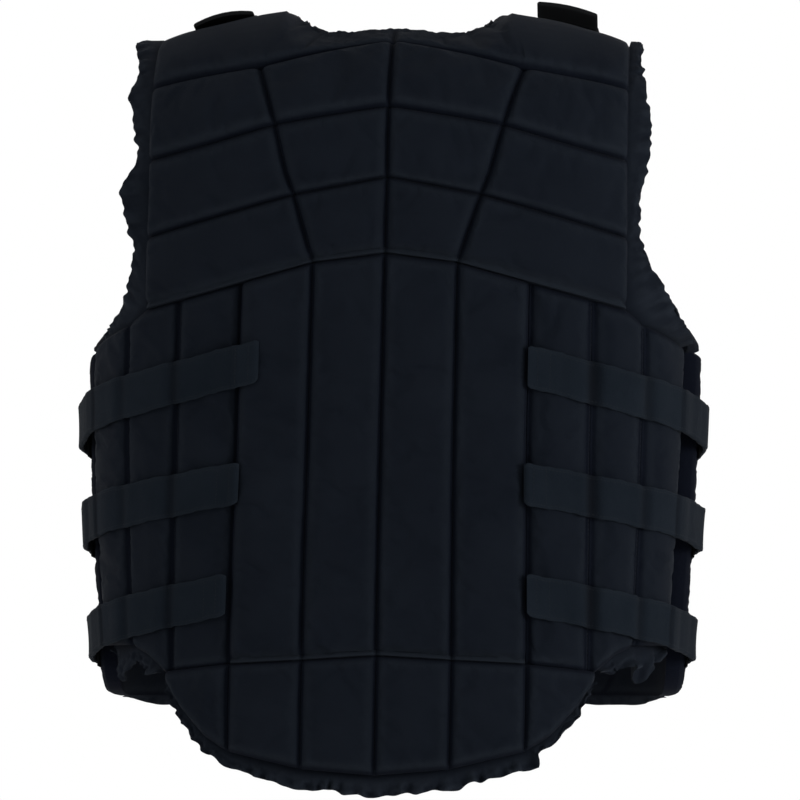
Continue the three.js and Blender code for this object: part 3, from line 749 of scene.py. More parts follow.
yoke = Pad("yoke", yoke_place, 4, 4, YOKE_THICKNESS, top_crest=True, lip=True,
           open_seam=short_diagonal, seed=11)
bars = Pad("bars", banded_place(bar_lines, YOKE_HEM, WAIST_SEAM, half_gap), 4, 1, BAR_THICKNESS,
           lip=True, seed=21)
tail = Pad("tail", banded_place(tail_lines, WAIST_SEAM, TAIL_HEM, 0), 6, 1, TAIL_THICKNESS, seed=31)
wings = {}
fronts = {}
for label, sign in SIDES:
    wings[sign] = Pad(f"wing_{label}", banded_place(wing_lines, WING_TOP, WING_HEM, half_gap, sign),
                      3, 1, WING_THICKNESS, seed=41 + sign, floor=WING_FLOOR[sign],
                      floor_share=WING_FLOOR_SHARE)
    fronts[sign] = Pad(f"front_{label}", front_place(sign), FRONT_COLUMNS, len(FRONT_SEAMS) - 1,
                       FRONT_THICKNESS, front_base, top_crest=True, seed=51 + sign)

pads = [yoke, bars, tail, wings[-1], wings[1], fronts[-1], fronts[1]]
pad_meshes = {pad.name: pad.build(simulate=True) for pad in pads}


# Gathered cloth along the edges

class EdgeLine:
    """An edge of a pad as a line that is read by its share of the whole."""

    def __init__(self, girth, down):
        steps = np.hypot(np.diff(girth) * HALF_GIRTH, np.diff(down))
        keep = np.concatenate([[True], steps > 1e-7])
        self.girth = girth[keep]
        self.down = down[keep]
        steps = np.hypot(np.diff(self.girth) * HALF_GIRTH, np.diff(self.down))
        reach = np.concatenate([[0], np.cumsum(steps)])
        self.length = reach[-1]
        self.along = reach / reach[-1]

    def at(self, along):
        return np.interp(along, self.along, self.girth), np.interp(along, self.along, self.down)

    def offset(self, along, outward, width):
        step = 0.006
        before = self.at(np.maximum(along - step, 0))
        after = self.at(np.minimum(along + step, 1))
        across = (after[0] - before[0]) * HALF_GIRTH
        downwards = after[1] - before[1]
        length = np.hypot(across, downwards)
        girth, down = self.at(along)
        reach = outward * width
        return girth - reach * downwards / length / HALF_GIRTH, down + reach * across / length


def gather_wave(distance, pitch, seed):
    """Uneven gathers: a wave whose pitch and depth wander, with finer ones on it."""
    draw = np.random.default_rng(seed)
    turns = distance / pitch
    wander = np.zeros_like(distance)
    for scale in GATHER_SCALES:
        wander += 0.6 * scale / 5 * ripple(turns, scale, draw.uniform(0, FULL_PHASE))
    main = ripple(distance, pitch, wander * 2.1)
    fine = ripple(turns * 2.3, 1, wander * 1.6 + draw.uniform(0, FULL_PHASE))
    slow = ripple(turns, 2.6, wander + draw.uniform(0, FULL_PHASE))
    depth = 0.7 + 0.4 * ripple(turns, 4.3, draw.uniform(0, FULL_PHASE))
    return (0.75 * main + 0.12 * fine + 0.35 * slow) * depth


def frill(name, line, outward, width, pitch, depth, lift, base, seed, free=None, ragged=0.16,
          band=0.15, curl=0.0, rows=10, reach=None, crumple=0.0004, sewn_rise=0.0, taper=0.0):
    """Thin cloth sewn along a line, whose gathers grow from the sewn edge to the free one."""
    count = max(FRILL_MIN_STEPS, round(line.length / FRILL_STEP))
    along = np.linspace(0, 1, count + 1)
    distance = along * line.length
    swing = gather_wave(distance, pitch, seed)
    rough = gather_wave(distance, pitch * ROUGH_PITCH_SHARE, seed + 5)
    sewn = line.offset(along, outward, -TUCK)
    widths = width(along) if callable(width) else np.full_like(along, width)
    if taper:
        widths = widths * mix(FRILL_END_SHARE, 1, smoothstep(np.minimum(along, 1 - along), 0, taper))
    if free is None:
        loose = line.offset(along, outward, widths * (1 + ragged * rough))
    else:
        loose = free(along, rough)
    share = np.linspace(0, 1, rows)[:, None]
    across = share * float(np.mean(widths))
    girth = mix(sewn[0], loose[0], share)
    down = np.maximum(mix(sewn[1], loose[1], share), SEAM_GAP / 2)
    grown = smoothstep(share, band * 0.4, 1.0)
    raised = lift(along) if callable(lift) else lift
    sewn_height = CHANNEL / 2 + sewn_rise * bell(along, 0.12)
    height = sewn_height + raised * share + depth * swing * grown - curl * smoothstep(share, 0.6, 1)
    rumple = wave_noise(distance, across * CRUMPLE_STRETCH, CRUMPLE_PITCH, seed + 9)
    fine = wave_noise(distance, across * CRUMPLE_STRETCH, FINE_CRUMPLE_PITCH, seed + 10)
    rumple = rumple + 0.5 * fine
    height = np.maximum(height + crumple * rumple * grown, FRILL_LEAST_HEIGHT) + base(girth, down)
    # Painted light on the gathers: painted highlights on their ridges and towards the free edge, painted
    # shade in their valleys; the cloth is also darker beside its sewn edge
    ridge = smoothstep(swing + 0.6 * rumple, -0.7, 0.9)
    highlight = 0.45 * smoothstep(share, 0.2, 0.5) + 0.55 * smoothstep(share, 0.8, 1)
    shades = {
        "seam": np.maximum(bell(share, 0.27), 0.55 * (1 - ridge) * grown),
        "edge": highlight * mix(0.35, 1, ridge),
    }
    outer = vest_point(girth, down, height + TRIM_THICKNESS / 2)
    inner = vest_point(girth, down, height - TRIM_THICKNESS / 2)
    if reach is not None:
        moved = reach((outer + inner)[-1] / 2) * share[..., None] ** REACH_POWER
        outer = outer + moved
        inner = inner + moved
    thing = wall(name, outer, inner, flat_map(distance, across), shades, crease=60)
    middle = (outer + inner) / 2
    free_length = np.linalg.norm(np.diff(middle[-1], axis=0), axis=-1).sum()
    depths = np.linalg.norm(np.diff(middle, axis=0), axis=-1).sum(axis=0)
    corner = middle[:-1, :-1]
    area = np.linalg.norm(np.cross(middle[1:, :-1] - corner, middle[:-1, 1:] - corner), axis=-1).sum()
    cut_width = max(MIN_CUT_WIDTH, float(depths.max()))
    cut_length = float(max(free_length, line.length * GATHER_SHARE))
    cut_area = float(np.clip(area, MIN_AREA_SHARE * cut_width * cut_length, cut_width * cut_length))
    return thing, (cut_width, cut_length), cut_area


def edge_of(pad, index, keep=None):
    """An edge of a pad's grid, or the part of it to keep."""
    girth = pad.girth[index]
    down = pad.down[index]
    chosen = slice(None) if keep is None else keep(girth, down)
    return girth[chosen], down[chosen]


def armhole_free(side, waver):
    def free(along, rough):
        girth = read_line(ARMHOLE_FREE, along) + waver * rough / HALF_GIRTH
        return side * girth, read_line(ARMHOLE_FREE, along, 2) * BACK_LENGTH

    return free


OUTLINE_ROUGHNESS = 0.0008
OUTLINE_PITCH = 0.0085
OUTLINE_REACH = 0.013
OUTLINE_SMOOTHING = 7


def reach_out(outline, seed):
    """Moves the free edge sideways to the outline that is seen from behind: up against across."""
    outline = np.array(outline)

    def moved(free_edge):
        across = free_edge @ CAMERA_RIGHT
        wanted = np.interp(free_edge[:, 2], outline[:, 0], outline[:, 1])
        push = np.clip(wanted - across, -OUTLINE_REACH, OUTLINE_REACH)
        padded = np.pad(push, OUTLINE_SMOOTHING // 2, mode="edge")
        smooth = np.convolve(padded, np.ones(OUTLINE_SMOOTHING) / OUTLINE_SMOOTHING, mode="valid")
        rough = OUTLINE_ROUGHNESS * wave_noise(free_edge[:, 2], 0.0, OUTLINE_PITCH, seed)
        return (smooth + rough)[:, None] * CAMERA_RIGHT

    return moved


# Outline of the armhole's cloth from behind, as up and across
ARMHOLE_OUTLINE = {
    -1: ((-0.2206, -0.2093), (-0.2031, -0.2009), (-0.1814, -0.1893), (-0.1625, -0.1848),
         (-0.1436, -0.182), (-0.1212, -0.188), (-0.1044, -0.1918), (-0.096, -0.1883),
         (-0.0799, -0.1782), (-0.061, -0.182), (-0.0519, -0.1823), (-0.0379, -0.1865),
         (-0.0225, -0.1789), (-0.0106, -0.1792), (-0.0001, -0.1806)),
    1: ((-0.2206, 0.2121), (-0.2017, 0.2051), (-0.1842, 0.1939), (-0.1625, 0.1837),
        (-0.152, 0.1743), (-0.131, 0.1704), (-0.1072, 0.1704), (-0.0876, 0.1757),
        (-0.0638, 0.1789), (-0.0351, 0.1757), (-0.0162, 0.1722), (-0.0001, 0.1732)),
}
sheets = []


def add_frill(node, rests_on, *args, **options):
    thing, flat, area = frill(f"cloth_{node}", *args, **options)
    sheets.append((thing, node, flat, area, rests_on))


def shoulder_lift(along):
    """The frill lies lower where it starts on the shoulder, level with the pad."""
    return FRILL_LIFT - 0.001 * bell(along, 0.1)


# Width of the cloth below the tail, from left to right: it hangs in a small corner at the right
HEM_TRIM_WIDTHS = np.array([
    (0, 0.0065),
    (0.08, 0.009),
    (0.2, 0.0105),
    (0.32, 0.0135),
    (0.5, 0.015),
    (0.7, 0.0135),
    (0.775, 0.0125),
    (0.802, 0.0145),
    (0.812, 0.0068),
    (0.9, 0.0068),
    (1, 0.0045),
])


def hem_trim_width(along):
    return read_line(HEM_TRIM_WIDTHS, along)


def wing_hem_width(point):
    """Width of a wing's loose hem, which hangs lowest in a fold at one place."""
    def width(along):
        ends = mix(0.35, 1, smoothstep(np.minimum(along, 1 - along), 0, 0.12))
        return ends * mix(WING_HEM_LEAST, WING_HEM_MOST, bell(along - point, 0.13))

    return width


WING_HEM_FOLD = {-1: 0.715, 1: 0.6}
LAST = (slice(None), -1)
FIRST = (slice(None), 0)

neck_edge = edge_of(yoke, 0, lambda girth, down: np.abs(girth) < NECK_SIDE + GAP_SHARE)
add_frill("neck_trim_back", "back_yoke", EdgeLine(*neck_edge), -1, NECK_TRIM_WIDTH, pitch=0.011,
          depth=0.0006, lift=NECK_LIFT, base=flat_base, seed=101, band=0.3, ragged=0.12)
add_frill("hem_trim_back", "back_tail", EdgeLine(*edge_of(tail, -1)), 1, hem_trim_width, pitch=0.0105,
          depth=0.003, lift=HEM_LIFT, base=flat_base, seed=110, ragged=0.13, band=0.7, rows=16,
          crumple=0.0011)
for label, sign in SIDES:
    wing = wings[sign]
    front = fronts[sign]
    front_node = f"front_panel_{label}"
    side_edge = edge_of(yoke, FIRST if sign < 0 else LAST)
    wing_edge = edge_of(wing, 0, lambda girth, down: np.abs(girth) > YOKE_SIDE)
    armhole = EdgeLine(*(np.concatenate(parts) for parts in zip(side_edge, wing_edge)))
    add_frill(f"armhole_trim_back_{label}", "back_yoke", armhole, -sign, 0.014, pitch=0.0135,
              depth=0.0016, lift=shoulder_lift, base=flat_base, seed=120 + sign,
              free=armhole_free(sign, 0.001), band=0.3, curl=0.0015, rows=14,
              reach=reach_out(ARMHOLE_OUTLINE[sign], 300 + sign), sewn_rise=ARMHOLE_RISE)
    front_side = edge_of(front, FIRST, lambda girth, down: down <= FRONT_SEAMS[4] * BACK_LENGTH + SEAM_GAP)
    add_frill(f"armhole_trim_front_{label}", front_node, EdgeLine(*front_side), sign, FRONT_TRIM_WIDTH,
              pitch=0.014, depth=0.001, lift=FRILL_LIFT / 2, base=front_base, seed=130 + sign,
              ragged=0.1, taper=0.08)
    neck_side = edge_of(front, LAST, lambda girth, down: down <= FRONT_SEAMS[2] * BACK_LENGTH + SEAM_GAP)
    add_frill(f"neck_trim_front_{label}", front_node, EdgeLine(*neck_side), -sign, NECK_TRIM_WIDTH,
              pitch=0.011, depth=0.0006, lift=NECK_LIFT, base=front_base, seed=140 + sign, band=0.3,
              ragged=0.1)
    rim = edge_of(wing, -1, lambda girth, down: np.abs(girth) > TAIL_END + HEM_CLEARANCE / HALF_GIRTH)
    add_frill(f"wing_hem_{label}", f"back_wing_{label}", EdgeLine(*rim), sign,
              wing_hem_width(WING_HEM_FOLD[sign]), pitch=0.034, depth=0.0055, lift=HEM_LIFT,
              base=flat_base, seed=150 + sign, ragged=0.12, band=0.2, rows=18, crumple=0.0014)
    add_frill(f"hem_trim_front_{label}", front_node, EdgeLine(*edge_of(front, -1)), sign,
              FRONT_TRIM_WIDTH, pitch=0.016, depth=0.0007, lift=HEM_LIFT, base=front_base,
              seed=160 + sign, ragged=0.08, taper=0.2)


# Straps and tape

ON_BAR = BAR_THICKNESS + REST_GAP
ON_WING = WING_THICKNESS + REST_GAP + 0.0003
ON_FRONT = FRONT_STAND_OFF + FRONT_THICKNESS + REST_GAP
ON_ANCHOR = ON_FRONT + ANCHOR_THICKNESS + REST_GAP
STRAP_HEIGHTS = np.array([
    (INNER, ON_BAR),
    (OUTER, ON_BAR),
    (OUTER + 0.004, (ON_BAR + ON_WING) / 2),
    (OUTER + 0.03, ON_WING),
    (WING_EDGE + 0.004, ON_WING),
    (FRONT_EDGE - 0.004, ON_ANCHOR),
    (1, ON_ANCHOR),
])
# Waves along a strap, as size and pitch
STRAP_SWAY = (0.0009, 0.041)
STRAP_WANDER = (0.00035, 0.037)
STRAP_WIDTH_WAVE = (0.014, 0.0125)
STRAP_WIDTH_RIPPLE = (0.01, 0.0071)
STRAP_CUP = (0.0006, 0.052)
STRAP_CORNER = 0.0035
STRAP_TURN_RISE = 0.0009
# Depth of a dip at which its painted shade is full
FULL_SHADE_DIP = 0.004
# Where a strap dips into a wing's seams: the seam, how deep and how far
STRAP_DIPS = {
    -1: ((WING_FIRST, 0.0026, 0.0036), (WING_SECOND, 0.0016, 0.0036)),
    1: ((WING_FIRST, 0.0042, 0.0045), (WING_SECOND, 0.0026, 0.004)),
}
STRAP_STEP = 0.0022
STRAP_LIFT = 0.0002
TAB_ROWS = 34
TAB_FREE_ROWS = 12
BAND_PROFILE = np.array([0, 0.012, 0.035, 0.08, 0.2, 0.35, 0.5, 0.65, 0.8, 0.92, 0.965, 0.988, 1])


def band_edge(share, width, thickness):
    """Share of the thickness left at a place across a band with rounded edges."""
    inset = np.minimum(share, 1 - share) * width
    reach = np.clip(inset / (thickness * 0.55), 0, 1)
    return mix(0.12, 1, np.sqrt(1 - (1 - reach) ** 2))


def strap_down(strap, girth):
    slope = (strap[4] - strap[3]) / (0.5 - STRAP_REFERENCE)
    return (strap[3] + slope * (girth - STRAP_REFERENCE)) * BACK_LENGTH


def side_strap(strap, side, seed):
    """A strap round the side: soft waves, a dip at each wing seam and a rounded end."""
    start = strap[1] if side < 0 else strap[2]
    steps = round((STRAP_END - start) * HALF_GIRTH / STRAP_STEP)
    girth = np.linspace(start, STRAP_END, steps + 1)[:, None]
    reach = girth * HALF_GIRTH
    from_start = (girth - start) * HALF_GIRTH
    from_turn = (girth - STRAP_TURN) * HALF_GIRTH
    draw = np.random.default_rng(seed)

    def wave(size, pitch, phase=0.0):
        return size * ripple(reach, pitch, phase)

    height = read_line(STRAP_HEIGHTS, girth)
    # Each dip into a seam adds painted shade to the strap
    dip_shade = np.zeros(girth.shape)
    for seam, depth, spread in STRAP_DIPS[side]:
        dip = bell((girth - seam) * HALF_GIRTH, spread)
        height = height - depth * dip
        dip_shade = dip_shade + dip * depth / FULL_SHADE_DIP
    sway = wave(*STRAP_SWAY, draw.uniform(0, FULL_PHASE))
    height = height + np.maximum(0, sway) + STRAP_LIFT
    share = BAND_PROFILE[None, :]
    corner = np.clip(from_start / STRAP_CORNER, 0, 1)
    pulled = 1 - 0.1 * (1 - np.sqrt(1 - (1 - corner) ** 2))
    middle = strap_down(strap, girth) + wave(*STRAP_WANDER, draw.uniform(0, FULL_PHASE))
    wavy = 1 + wave(*STRAP_WIDTH_WAVE, draw.uniform(0, FULL_PHASE)) + wave(*STRAP_WIDTH_RIPPLE)
    down = middle + (share - 0.5) * STRAP_WIDTH * pulled * wavy
    girth = np.broadcast_to(girth, down.shape)
    cup = ((share - 0.5) * 2) ** 2 * wave(*STRAP_CUP, draw.uniform(0, FULL_PHASE))
    full = STRAP_THICKNESS * band_edge(share, STRAP_WIDTH, STRAP_THICKNESS)
    low = height + np.maximum(cup, 0) + (STRAP_THICKNESS - full) / 2
    turned = smoothstep(from_turn, 0, STRAP_TURN_RISE)
    rise = full * mix(0.25, 1, smoothstep(from_start, -0.0008, 0.0012))
    rise = rise + STRAP_TURN_RISE * turned * (full / STRAP_THICKNESS)
    # Painted shade in the dips; the seam line at the turn is darker, the turned end a little darker, and the
    # strap lighter along its edges
    shades = {
        "seam": np.clip(bell(from_turn, 0.0011) + dip_shade + 0.3 * turned, 0, 1) + np.zeros(down.shape),
        "edge": bell(np.minimum(share, 1 - share) * STRAP_WIDTH, 0.0016) + np.zeros(down.shape),
    }
    outer = vest_point(side * girth, down, low + rise)
    inner = vest_point(side * girth, down, low)
    uv = flat_map(girth * HALF_GIRTH, share * STRAP_WIDTH)
    name = f"strap_{SIDE_NAMES[side]}_{strap[0]}"
    return wall(name, outer, inner, uv, shades, crease=75), (girth, down, low + rise)


def strap_anchor(strap, side):
    """The patch of hook tape that a strap is sewn to."""
    girth = np.linspace(ANCHOR_START, ANCHOR_END, 20)[:, None]
    share = BAND_PROFILE[None, :]
    half = STRAP_WIDTH / 2 + ANCHOR_OVERHANG
    down = strap_down(strap, girth) + (share * 2 - 1) * half
    girth = np.broadcast_to(girth, down.shape)
    rise = ANCHOR_THICKNESS * band_edge(share, 2 * half, ANCHOR_THICKNESS)
    outer = vest_point(side * girth, down, ON_FRONT + rise)
    inner = vest_point(side * girth, down, ON_FRONT)
    uv = flat_map(girth * HALF_GIRTH, down)
    return wall(f"anchor_{SIDE_NAMES[side]}_{strap[0]}", outer, inner, uv, plain_shades(down.shape))


CREST_THICKNESS = CHANNEL + (YOKE_THICKNESS - CHANNEL) * CREST_LIFT


def tab_height(down):
    swell = smoothstep(down, 0, SHOULDER_TURN / 6)
    return front_base(0, down) + mix(CREST_THICKNESS, FRONT_THICKNESS, swell) + REST_GAP


def shoulder_tab(name, side, last_down, beyond, curl):
    """A tab of hook tape from the front over the shoulder, with its free end beyond the crest."""
    half = TAB_WIDTH / 2 / HALF_GIRTH
    share = BAND_PROFILE[None, :]
    down = np.linspace(TAB_SEWN_DOWN * BACK_LENGTH, last_down, TAB_ROWS)[:, None]
    girth = side * (TAB_PLACE + (share * 2 - 1) * half)
    girth, down = np.broadcast_arrays(girth, down)
    rise = TAB_THICKNESS * band_edge(share, TAB_WIDTH, TAB_THICKNESS)
    slack = (TAB_THICKNESS - rise) / 2
    height = tab_height(down) + STRAP_LIFT
    steps = np.linspace(0, 1, TAB_FREE_ROWS + 1)[1:]
    spread = (share[0] * 2 - 1)[:, None]
    bow = np.array([0, 0, 1.0]) * curl
    layers = []
    for offset in (slack + rise, slack):
        grid = vest_point(girth, down, height + offset)
        free = [grid[-1] + np.asarray(beyond) * step + bow * step * (1 - spread ** 2) for step in steps]
        layers.append(np.concatenate([grid, np.array(free)]))
    rows = layers[0].shape[0]
    row = np.arange(rows)[:, None]
    rim = bell(np.minimum(share, 1 - share) * TAB_WIDTH, 0.0022)
    shades = plain_shades((rows, share.shape[1]))
    shades["edge"] = np.maximum(rim, bell(rows - 1 - row, 1.4))
    return wall(name, *layers, flat_map(row * 0.0028, share * TAB_WIDTH), shades, crease=60)


straps = []
for label, sign in SIDES:
    for number, strap in enumerate(SIDE_STRAPS):
        thing, path = side_strap(strap, sign, 200 + number * 2 + (sign > 0))
        straps.append((thing, f"side_strap_{label}_{strap[0]}", path, sign))
anchors = [(strap_anchor(strap, sign), f"strap_anchor_{label}_{strap[0]}")
           for label, sign in SIDES for strap in SIDE_STRAPS]
tab_over = shoulder_tab("tab_left", -1, PAD_TOUCH, (0, -TAB_OVERHANG, TAB_SPRING), curl=0.0032)
tab_up = shoulder_tab("tab_right", 1, TAB_BEND * BACK_LENGTH, (0, -TAB_THICKNESS, TAB_RISE), curl=0.0016)


ZIP_LOW = FRONT_STAND_OFF + CHANNEL / 2
ZIP_TAPE_RISE = 0.0009
ZIP_MIDDLE_RISE = 0.0005
TOOTH_PITCH = 0.0026
TOOTH_SHIFT = 0.00065
TOOTH_ROW_REACH = 0.0009
ZIP_TOP_INSET = 0.008
ZIP_END_INSET = 0.004
SLIDER_LENGTH = 0.009
SLIDER_HALF_WIDTH = 0.0052
SLIDER_RISE = 0.0012
SLIDER_GAP = 0.0005


def zip_tape():
    """The tape of the closed front zip, with a raised middle where its teeth sit."""
    down = np.linspace(FRONT_SEAMS[2], FRONT_SEAMS[-1], 120)[:, None] * BACK_LENGTH
    share = np.linspace(-1, 1, 15)[None, :]
    half = ZIP_HALF_WIDTH + SEAM_GAP + PAD_TOUCH
    girth, down = np.broadcast_arrays(1 + share * half / HALF_GIRTH, down)
    rise = ZIP_TAPE_RISE + ZIP_MIDDLE_RISE * smoothstep(np.abs(share), 0.35, 0.2)
    outer = vest_point(girth, down, ZIP_LOW + rise)
    inner = vest_point(girth, down, ZIP_LOW)
    return wall("zip_tape", outer, inner, flat_map(girth * HALF_GIRTH, down), plain_shades(down.shape))


tape = zip_tape()


# What repeats, from Geometry Nodes: stitches and zip teeth

RUN_STEP = 0.0005
SEWN_SHARE = 0.6
QUILT_PITCH = 0.0033
STRAP_STITCH_PITCH = 0.0027
LIP_STITCH_INSET = 0.0036


def new_tree(name, inputs):
    tree = bpy.data.node_groups.new(name, "GeometryNodeTree")
    tree.interface.new_socket("Geometry", in_out="INPUT", socket_type="NodeSocketGeometry")
    tree.interface.new_socket("Geometry", in_out="OUTPUT", socket_type="NodeSocketGeometry")
    for label, kind, value in inputs:
        socket = tree.interface.new_socket(label, in_out="INPUT", socket_type=kind)
        socket.default_value = value
    return tree


def feed(tree, made, inputs):
    """Sets a node's inputs to values, or links them to other nodes' outputs."""
    for key, value in inputs.items():
        if isinstance(value, bpy.types.NodeSocket):
            tree.links.new(value, made.inputs[key])
        else:
            made.inputs[key].default_value = value


def node(tree, kind, inputs=None, **settings):
    made = tree.nodes.new(kind)
    for key, value in settings.items():
        setattr(made, key, value)
    feed(tree, made, inputs or {})
    return made


def math_node(tree, operation, first, second=None):
    inputs = {0: first} if second is None else {0: first, 1: second}
    return node(tree, "ShaderNodeMath", inputs, operation=operation).outputs[0]


def repeat_tree(name, shape, material):
    """A small shape at each point, along its 'along' attribute and standing off along 'out'."""
    tree = new_tree(name, (
        ("Length", "NodeSocketFloat", 0.002),
        ("Width", "NodeSocketFloat", 0.0005),
        ("Height", "NodeSocketFloat", 0.0005),
        ("Unevenness", "NodeSocketFloat", 0.06),
        ("Seed", "NodeSocketInt", 3),
    ))
    start = node(tree, "NodeGroupInput").outputs
    if shape == "stitch":
        form = node(tree, "GeometryNodeMeshUVSphere", {"Segments": 6, "Rings": 5, "Radius": 0.5})
    else:
        form = node(tree, "GeometryNodeMeshCube", {"Size": (1, 1, 1)})
    sizes = {"X": start["Length"], "Y": start["Width"], "Z": start["Height"]}
    size = node(tree, "ShaderNodeCombineXYZ", sizes)
    vary = node(tree, "FunctionNodeRandomValue", {"Seed": start["Seed"]}, data_type="FLOAT")
    limits = [socket for socket in vary.inputs if socket.enabled][:2]
    for limit, operation in zip(limits, ("SUBTRACT", "ADD")):
        tree.links.new(math_node(tree, operation, 1, start["Unevenness"]), limit)
    varied = next(socket for socket in vary.outputs if socket.enabled)
    scaled = node(tree, "ShaderNodeVectorMath", {0: size.outputs[0], "Scale": varied}, operation="SCALE")
    along, out = (
        node(tree, "GeometryNodeInputNamedAttribute", {"Name": key}, data_type="FLOAT_VECTOR").outputs[0]
        for key in ("along", "out")
    )
    first = node(tree, "FunctionNodeAlignRotationToVector", {"Vector": along}, axis="X")
    second = node(tree, "FunctionNodeAlignRotationToVector", {"Rotation": first.outputs[0], "Vector": out},
                  axis="Z", pivot_axis="X")
    spread = node(tree, "GeometryNodeInstanceOnPoints", {
        "Points": start["Geometry"],
        "Instance": form.outputs["Mesh"],
        "Rotation": second.outputs[0],
        "Scale": scaled.outputs[0],
    })
    real = node(tree, "GeometryNodeRealizeInstances", {0: spread.outputs[0]})
    smooth = node(tree, "GeometryNodeSetShadeSmooth", {0: real.outputs[0], "Shade Smooth": shape == "stitch"})
    paint = node(tree, "GeometryNodeSetMaterial", {0: smooth.outputs[0], "Material": material})
    node(tree, "NodeGroupOutput", {0: paint.outputs[0]})
    return tree


def spread_shapes(name, tree, points, along, out, values):
    """A plain mesh of the tree's shape at each of the points."""
    mesh = bpy.data.meshes.new(f"{name}_points")
    mesh.from_pydata(points.tolist(), [], [])
    for key, vectors in (("along", along), ("out", out)):
        attribute = mesh.attributes.new(key, "FLOAT_VECTOR", "POINT")
        attribute.data.foreach_set("vector", vectors.astype(np.float32).ravel())
    carrier = new_object(f"{name}_carrier", mesh)
    modifier = carrier.modifiers.new("repeat", "NODES")
    modifier.node_group = tree
    sockets = {item.name: item.identifier for item in tree.interface.items_tree if item.in_out == "INPUT"}
    for key, value in values.items():
        modifier[sockets[key]] = value
    bpy.context.view_layer.update()
    shown = carrier.evaluated_get(bpy.context.evaluated_depsgraph_get())
    made = bpy.data.meshes.new_from_object(shown)
    carrier.modifiers.clear()
    bpy.data.objects.remove(carrier, do_unlink=True)
    made.name = name
    return new_object(name, made)


def seam_run(girth, down, height, pitch):
    """Even points along a line on the vest, with the way it runs and the way it faces."""
    points = vest_point(girth, down, height)
    reach = np.concatenate([[0], np.cumsum(np.linalg.norm(np.diff(points, axis=0), axis=-1))])
    marks = np.arange(pitch / 2, reach[-1], pitch)

    def at(places):
        return np.stack([np.interp(places, reach, points[:, axis]) for axis in range(3)], axis=-1)

    out = outward_at(np.interp(marks, reach, girth), np.interp(marks, reach, down))
    return at(marks), at(marks + RUN_STEP) - at(marks - RUN_STEP), out


def gathered(runs):
    return [np.concatenate(parts) for parts in zip(*runs)]


def pad_seam_runs(pad, pitch):
    """Stitches at the bottom of a pad's channels, along its grid lines that lie on a seam."""
    rows, columns = pad.girth.shape
    grids = (pad.girth, pad.down, pad.base + pad.height + 0.00005)
    on_seam = pad.nearest < ON_SEAM
    lines = [(slice(None), column) for column in range(1, columns - 1)]
    lines += [(row, slice(None)) for row in range(1, rows - 1)]
    sewn_lines = [line for line in lines if on_seam[line].mean() > SEWN_SHARE]
    return [seam_run(*(grid[line][on_seam[line]] for grid in grids), pitch) for line in sewn_lines]


def lip_runs(pad, inset, pitch):
    """Stitches just above a pad's raised lower lip."""
    row = int(np.argmin(np.abs((pad.down[-1] - pad.down).mean(axis=1) - inset)))
    lift = pad.base[row] + pad.height[row] + 0.00002
    return [seam_run(pad.girth[row], pad.down[row], lift, pitch)]


def strap_runs(path, sign, pitch):
    """Two rows of stitches along a strap's edges, and rows across its sewn end."""
    girth, down, height = path
    inside = slice(3, len(BAND_PROFILE) - 3)
    lines = [(slice(None), 3), (slice(None), len(BAND_PROFILE) - 4), (3, inside), (7, inside)]
    return [seam_run(sign * girth[line], down[line], height[line] + 0.00003, pitch) for line in lines]


# Materials

def new_material(name):
    material = bpy.data.materials.new(name)
    material.use_nodes = True
    tree = material.node_tree
    tree.nodes.clear()
    shader = node(tree, "ShaderNodeBsdfPrincipled")
    node(tree, "ShaderNodeOutputMaterial", {"Surface": shader.outputs[0]})
    return material, tree, shader


def scaled_noise(tree, place, scale, detail=2.0, roughness=0.5):
    inputs = {"Vector": place, "Scale": scale, "Detail": detail, "Roughness": roughness}
    return node(tree, "ShaderNodeTexNoise", inputs).outputs["Fac"]


def waves(tree, uv, axis, pitch):
    """Even waves along one axis of the UV map, which is in metres."""
    split = node(tree, "ShaderNodeSeparateXYZ", {0: uv})
    return math_node(tree, "SINE", math_node(tree, "MULTIPLY", split.outputs[axis], 2 * math.pi / pitch))


def blended(tree, low, high, factor):
    """One colour moved towards another; the colours may be plain ones or come from nodes."""
    inputs = {0: factor}
    for key, colour in ((6, low), (7, high)):
        inputs[key] = (*colour, 1) if isinstance(colour, tuple) else colour
    return node(tree, "ShaderNodeMix", inputs, data_type="RGBA").outputs[2]


def stretched(tree, value, low, high):
    inputs = {"Value": value, "From Min": low, "From Max": high}
    return node(tree, "ShaderNodeMapRange", inputs).outputs["Result"]


def marked(tree, colour, mark, key, strength):
    """A colour moved towards the mark's where the mesh's share of that name is high."""
    share = node(tree, "ShaderNodeAttribute", attribute_name=key).outputs["Fac"]
    return blended(tree, colour, mark, math_node(tree, "MULTIPLY", share, strength))


# Cloth: scales of its noise per metre, and what is the same for every cloth
BROAD_SCALE = 22
FINE_SCALE = 900
LINT_SCALE = 2600
CREASE_SCALE = 130
LINT_COLOUR = (0.03, 0.033, 0.038)
LINT_STRENGTH = 0.35
CLOTH_SPECULAR = 0.05
SHEEN_ROUGHNESS = 0.45
SHEEN_TINT = (0.62, 0.72, 0.9, 1)


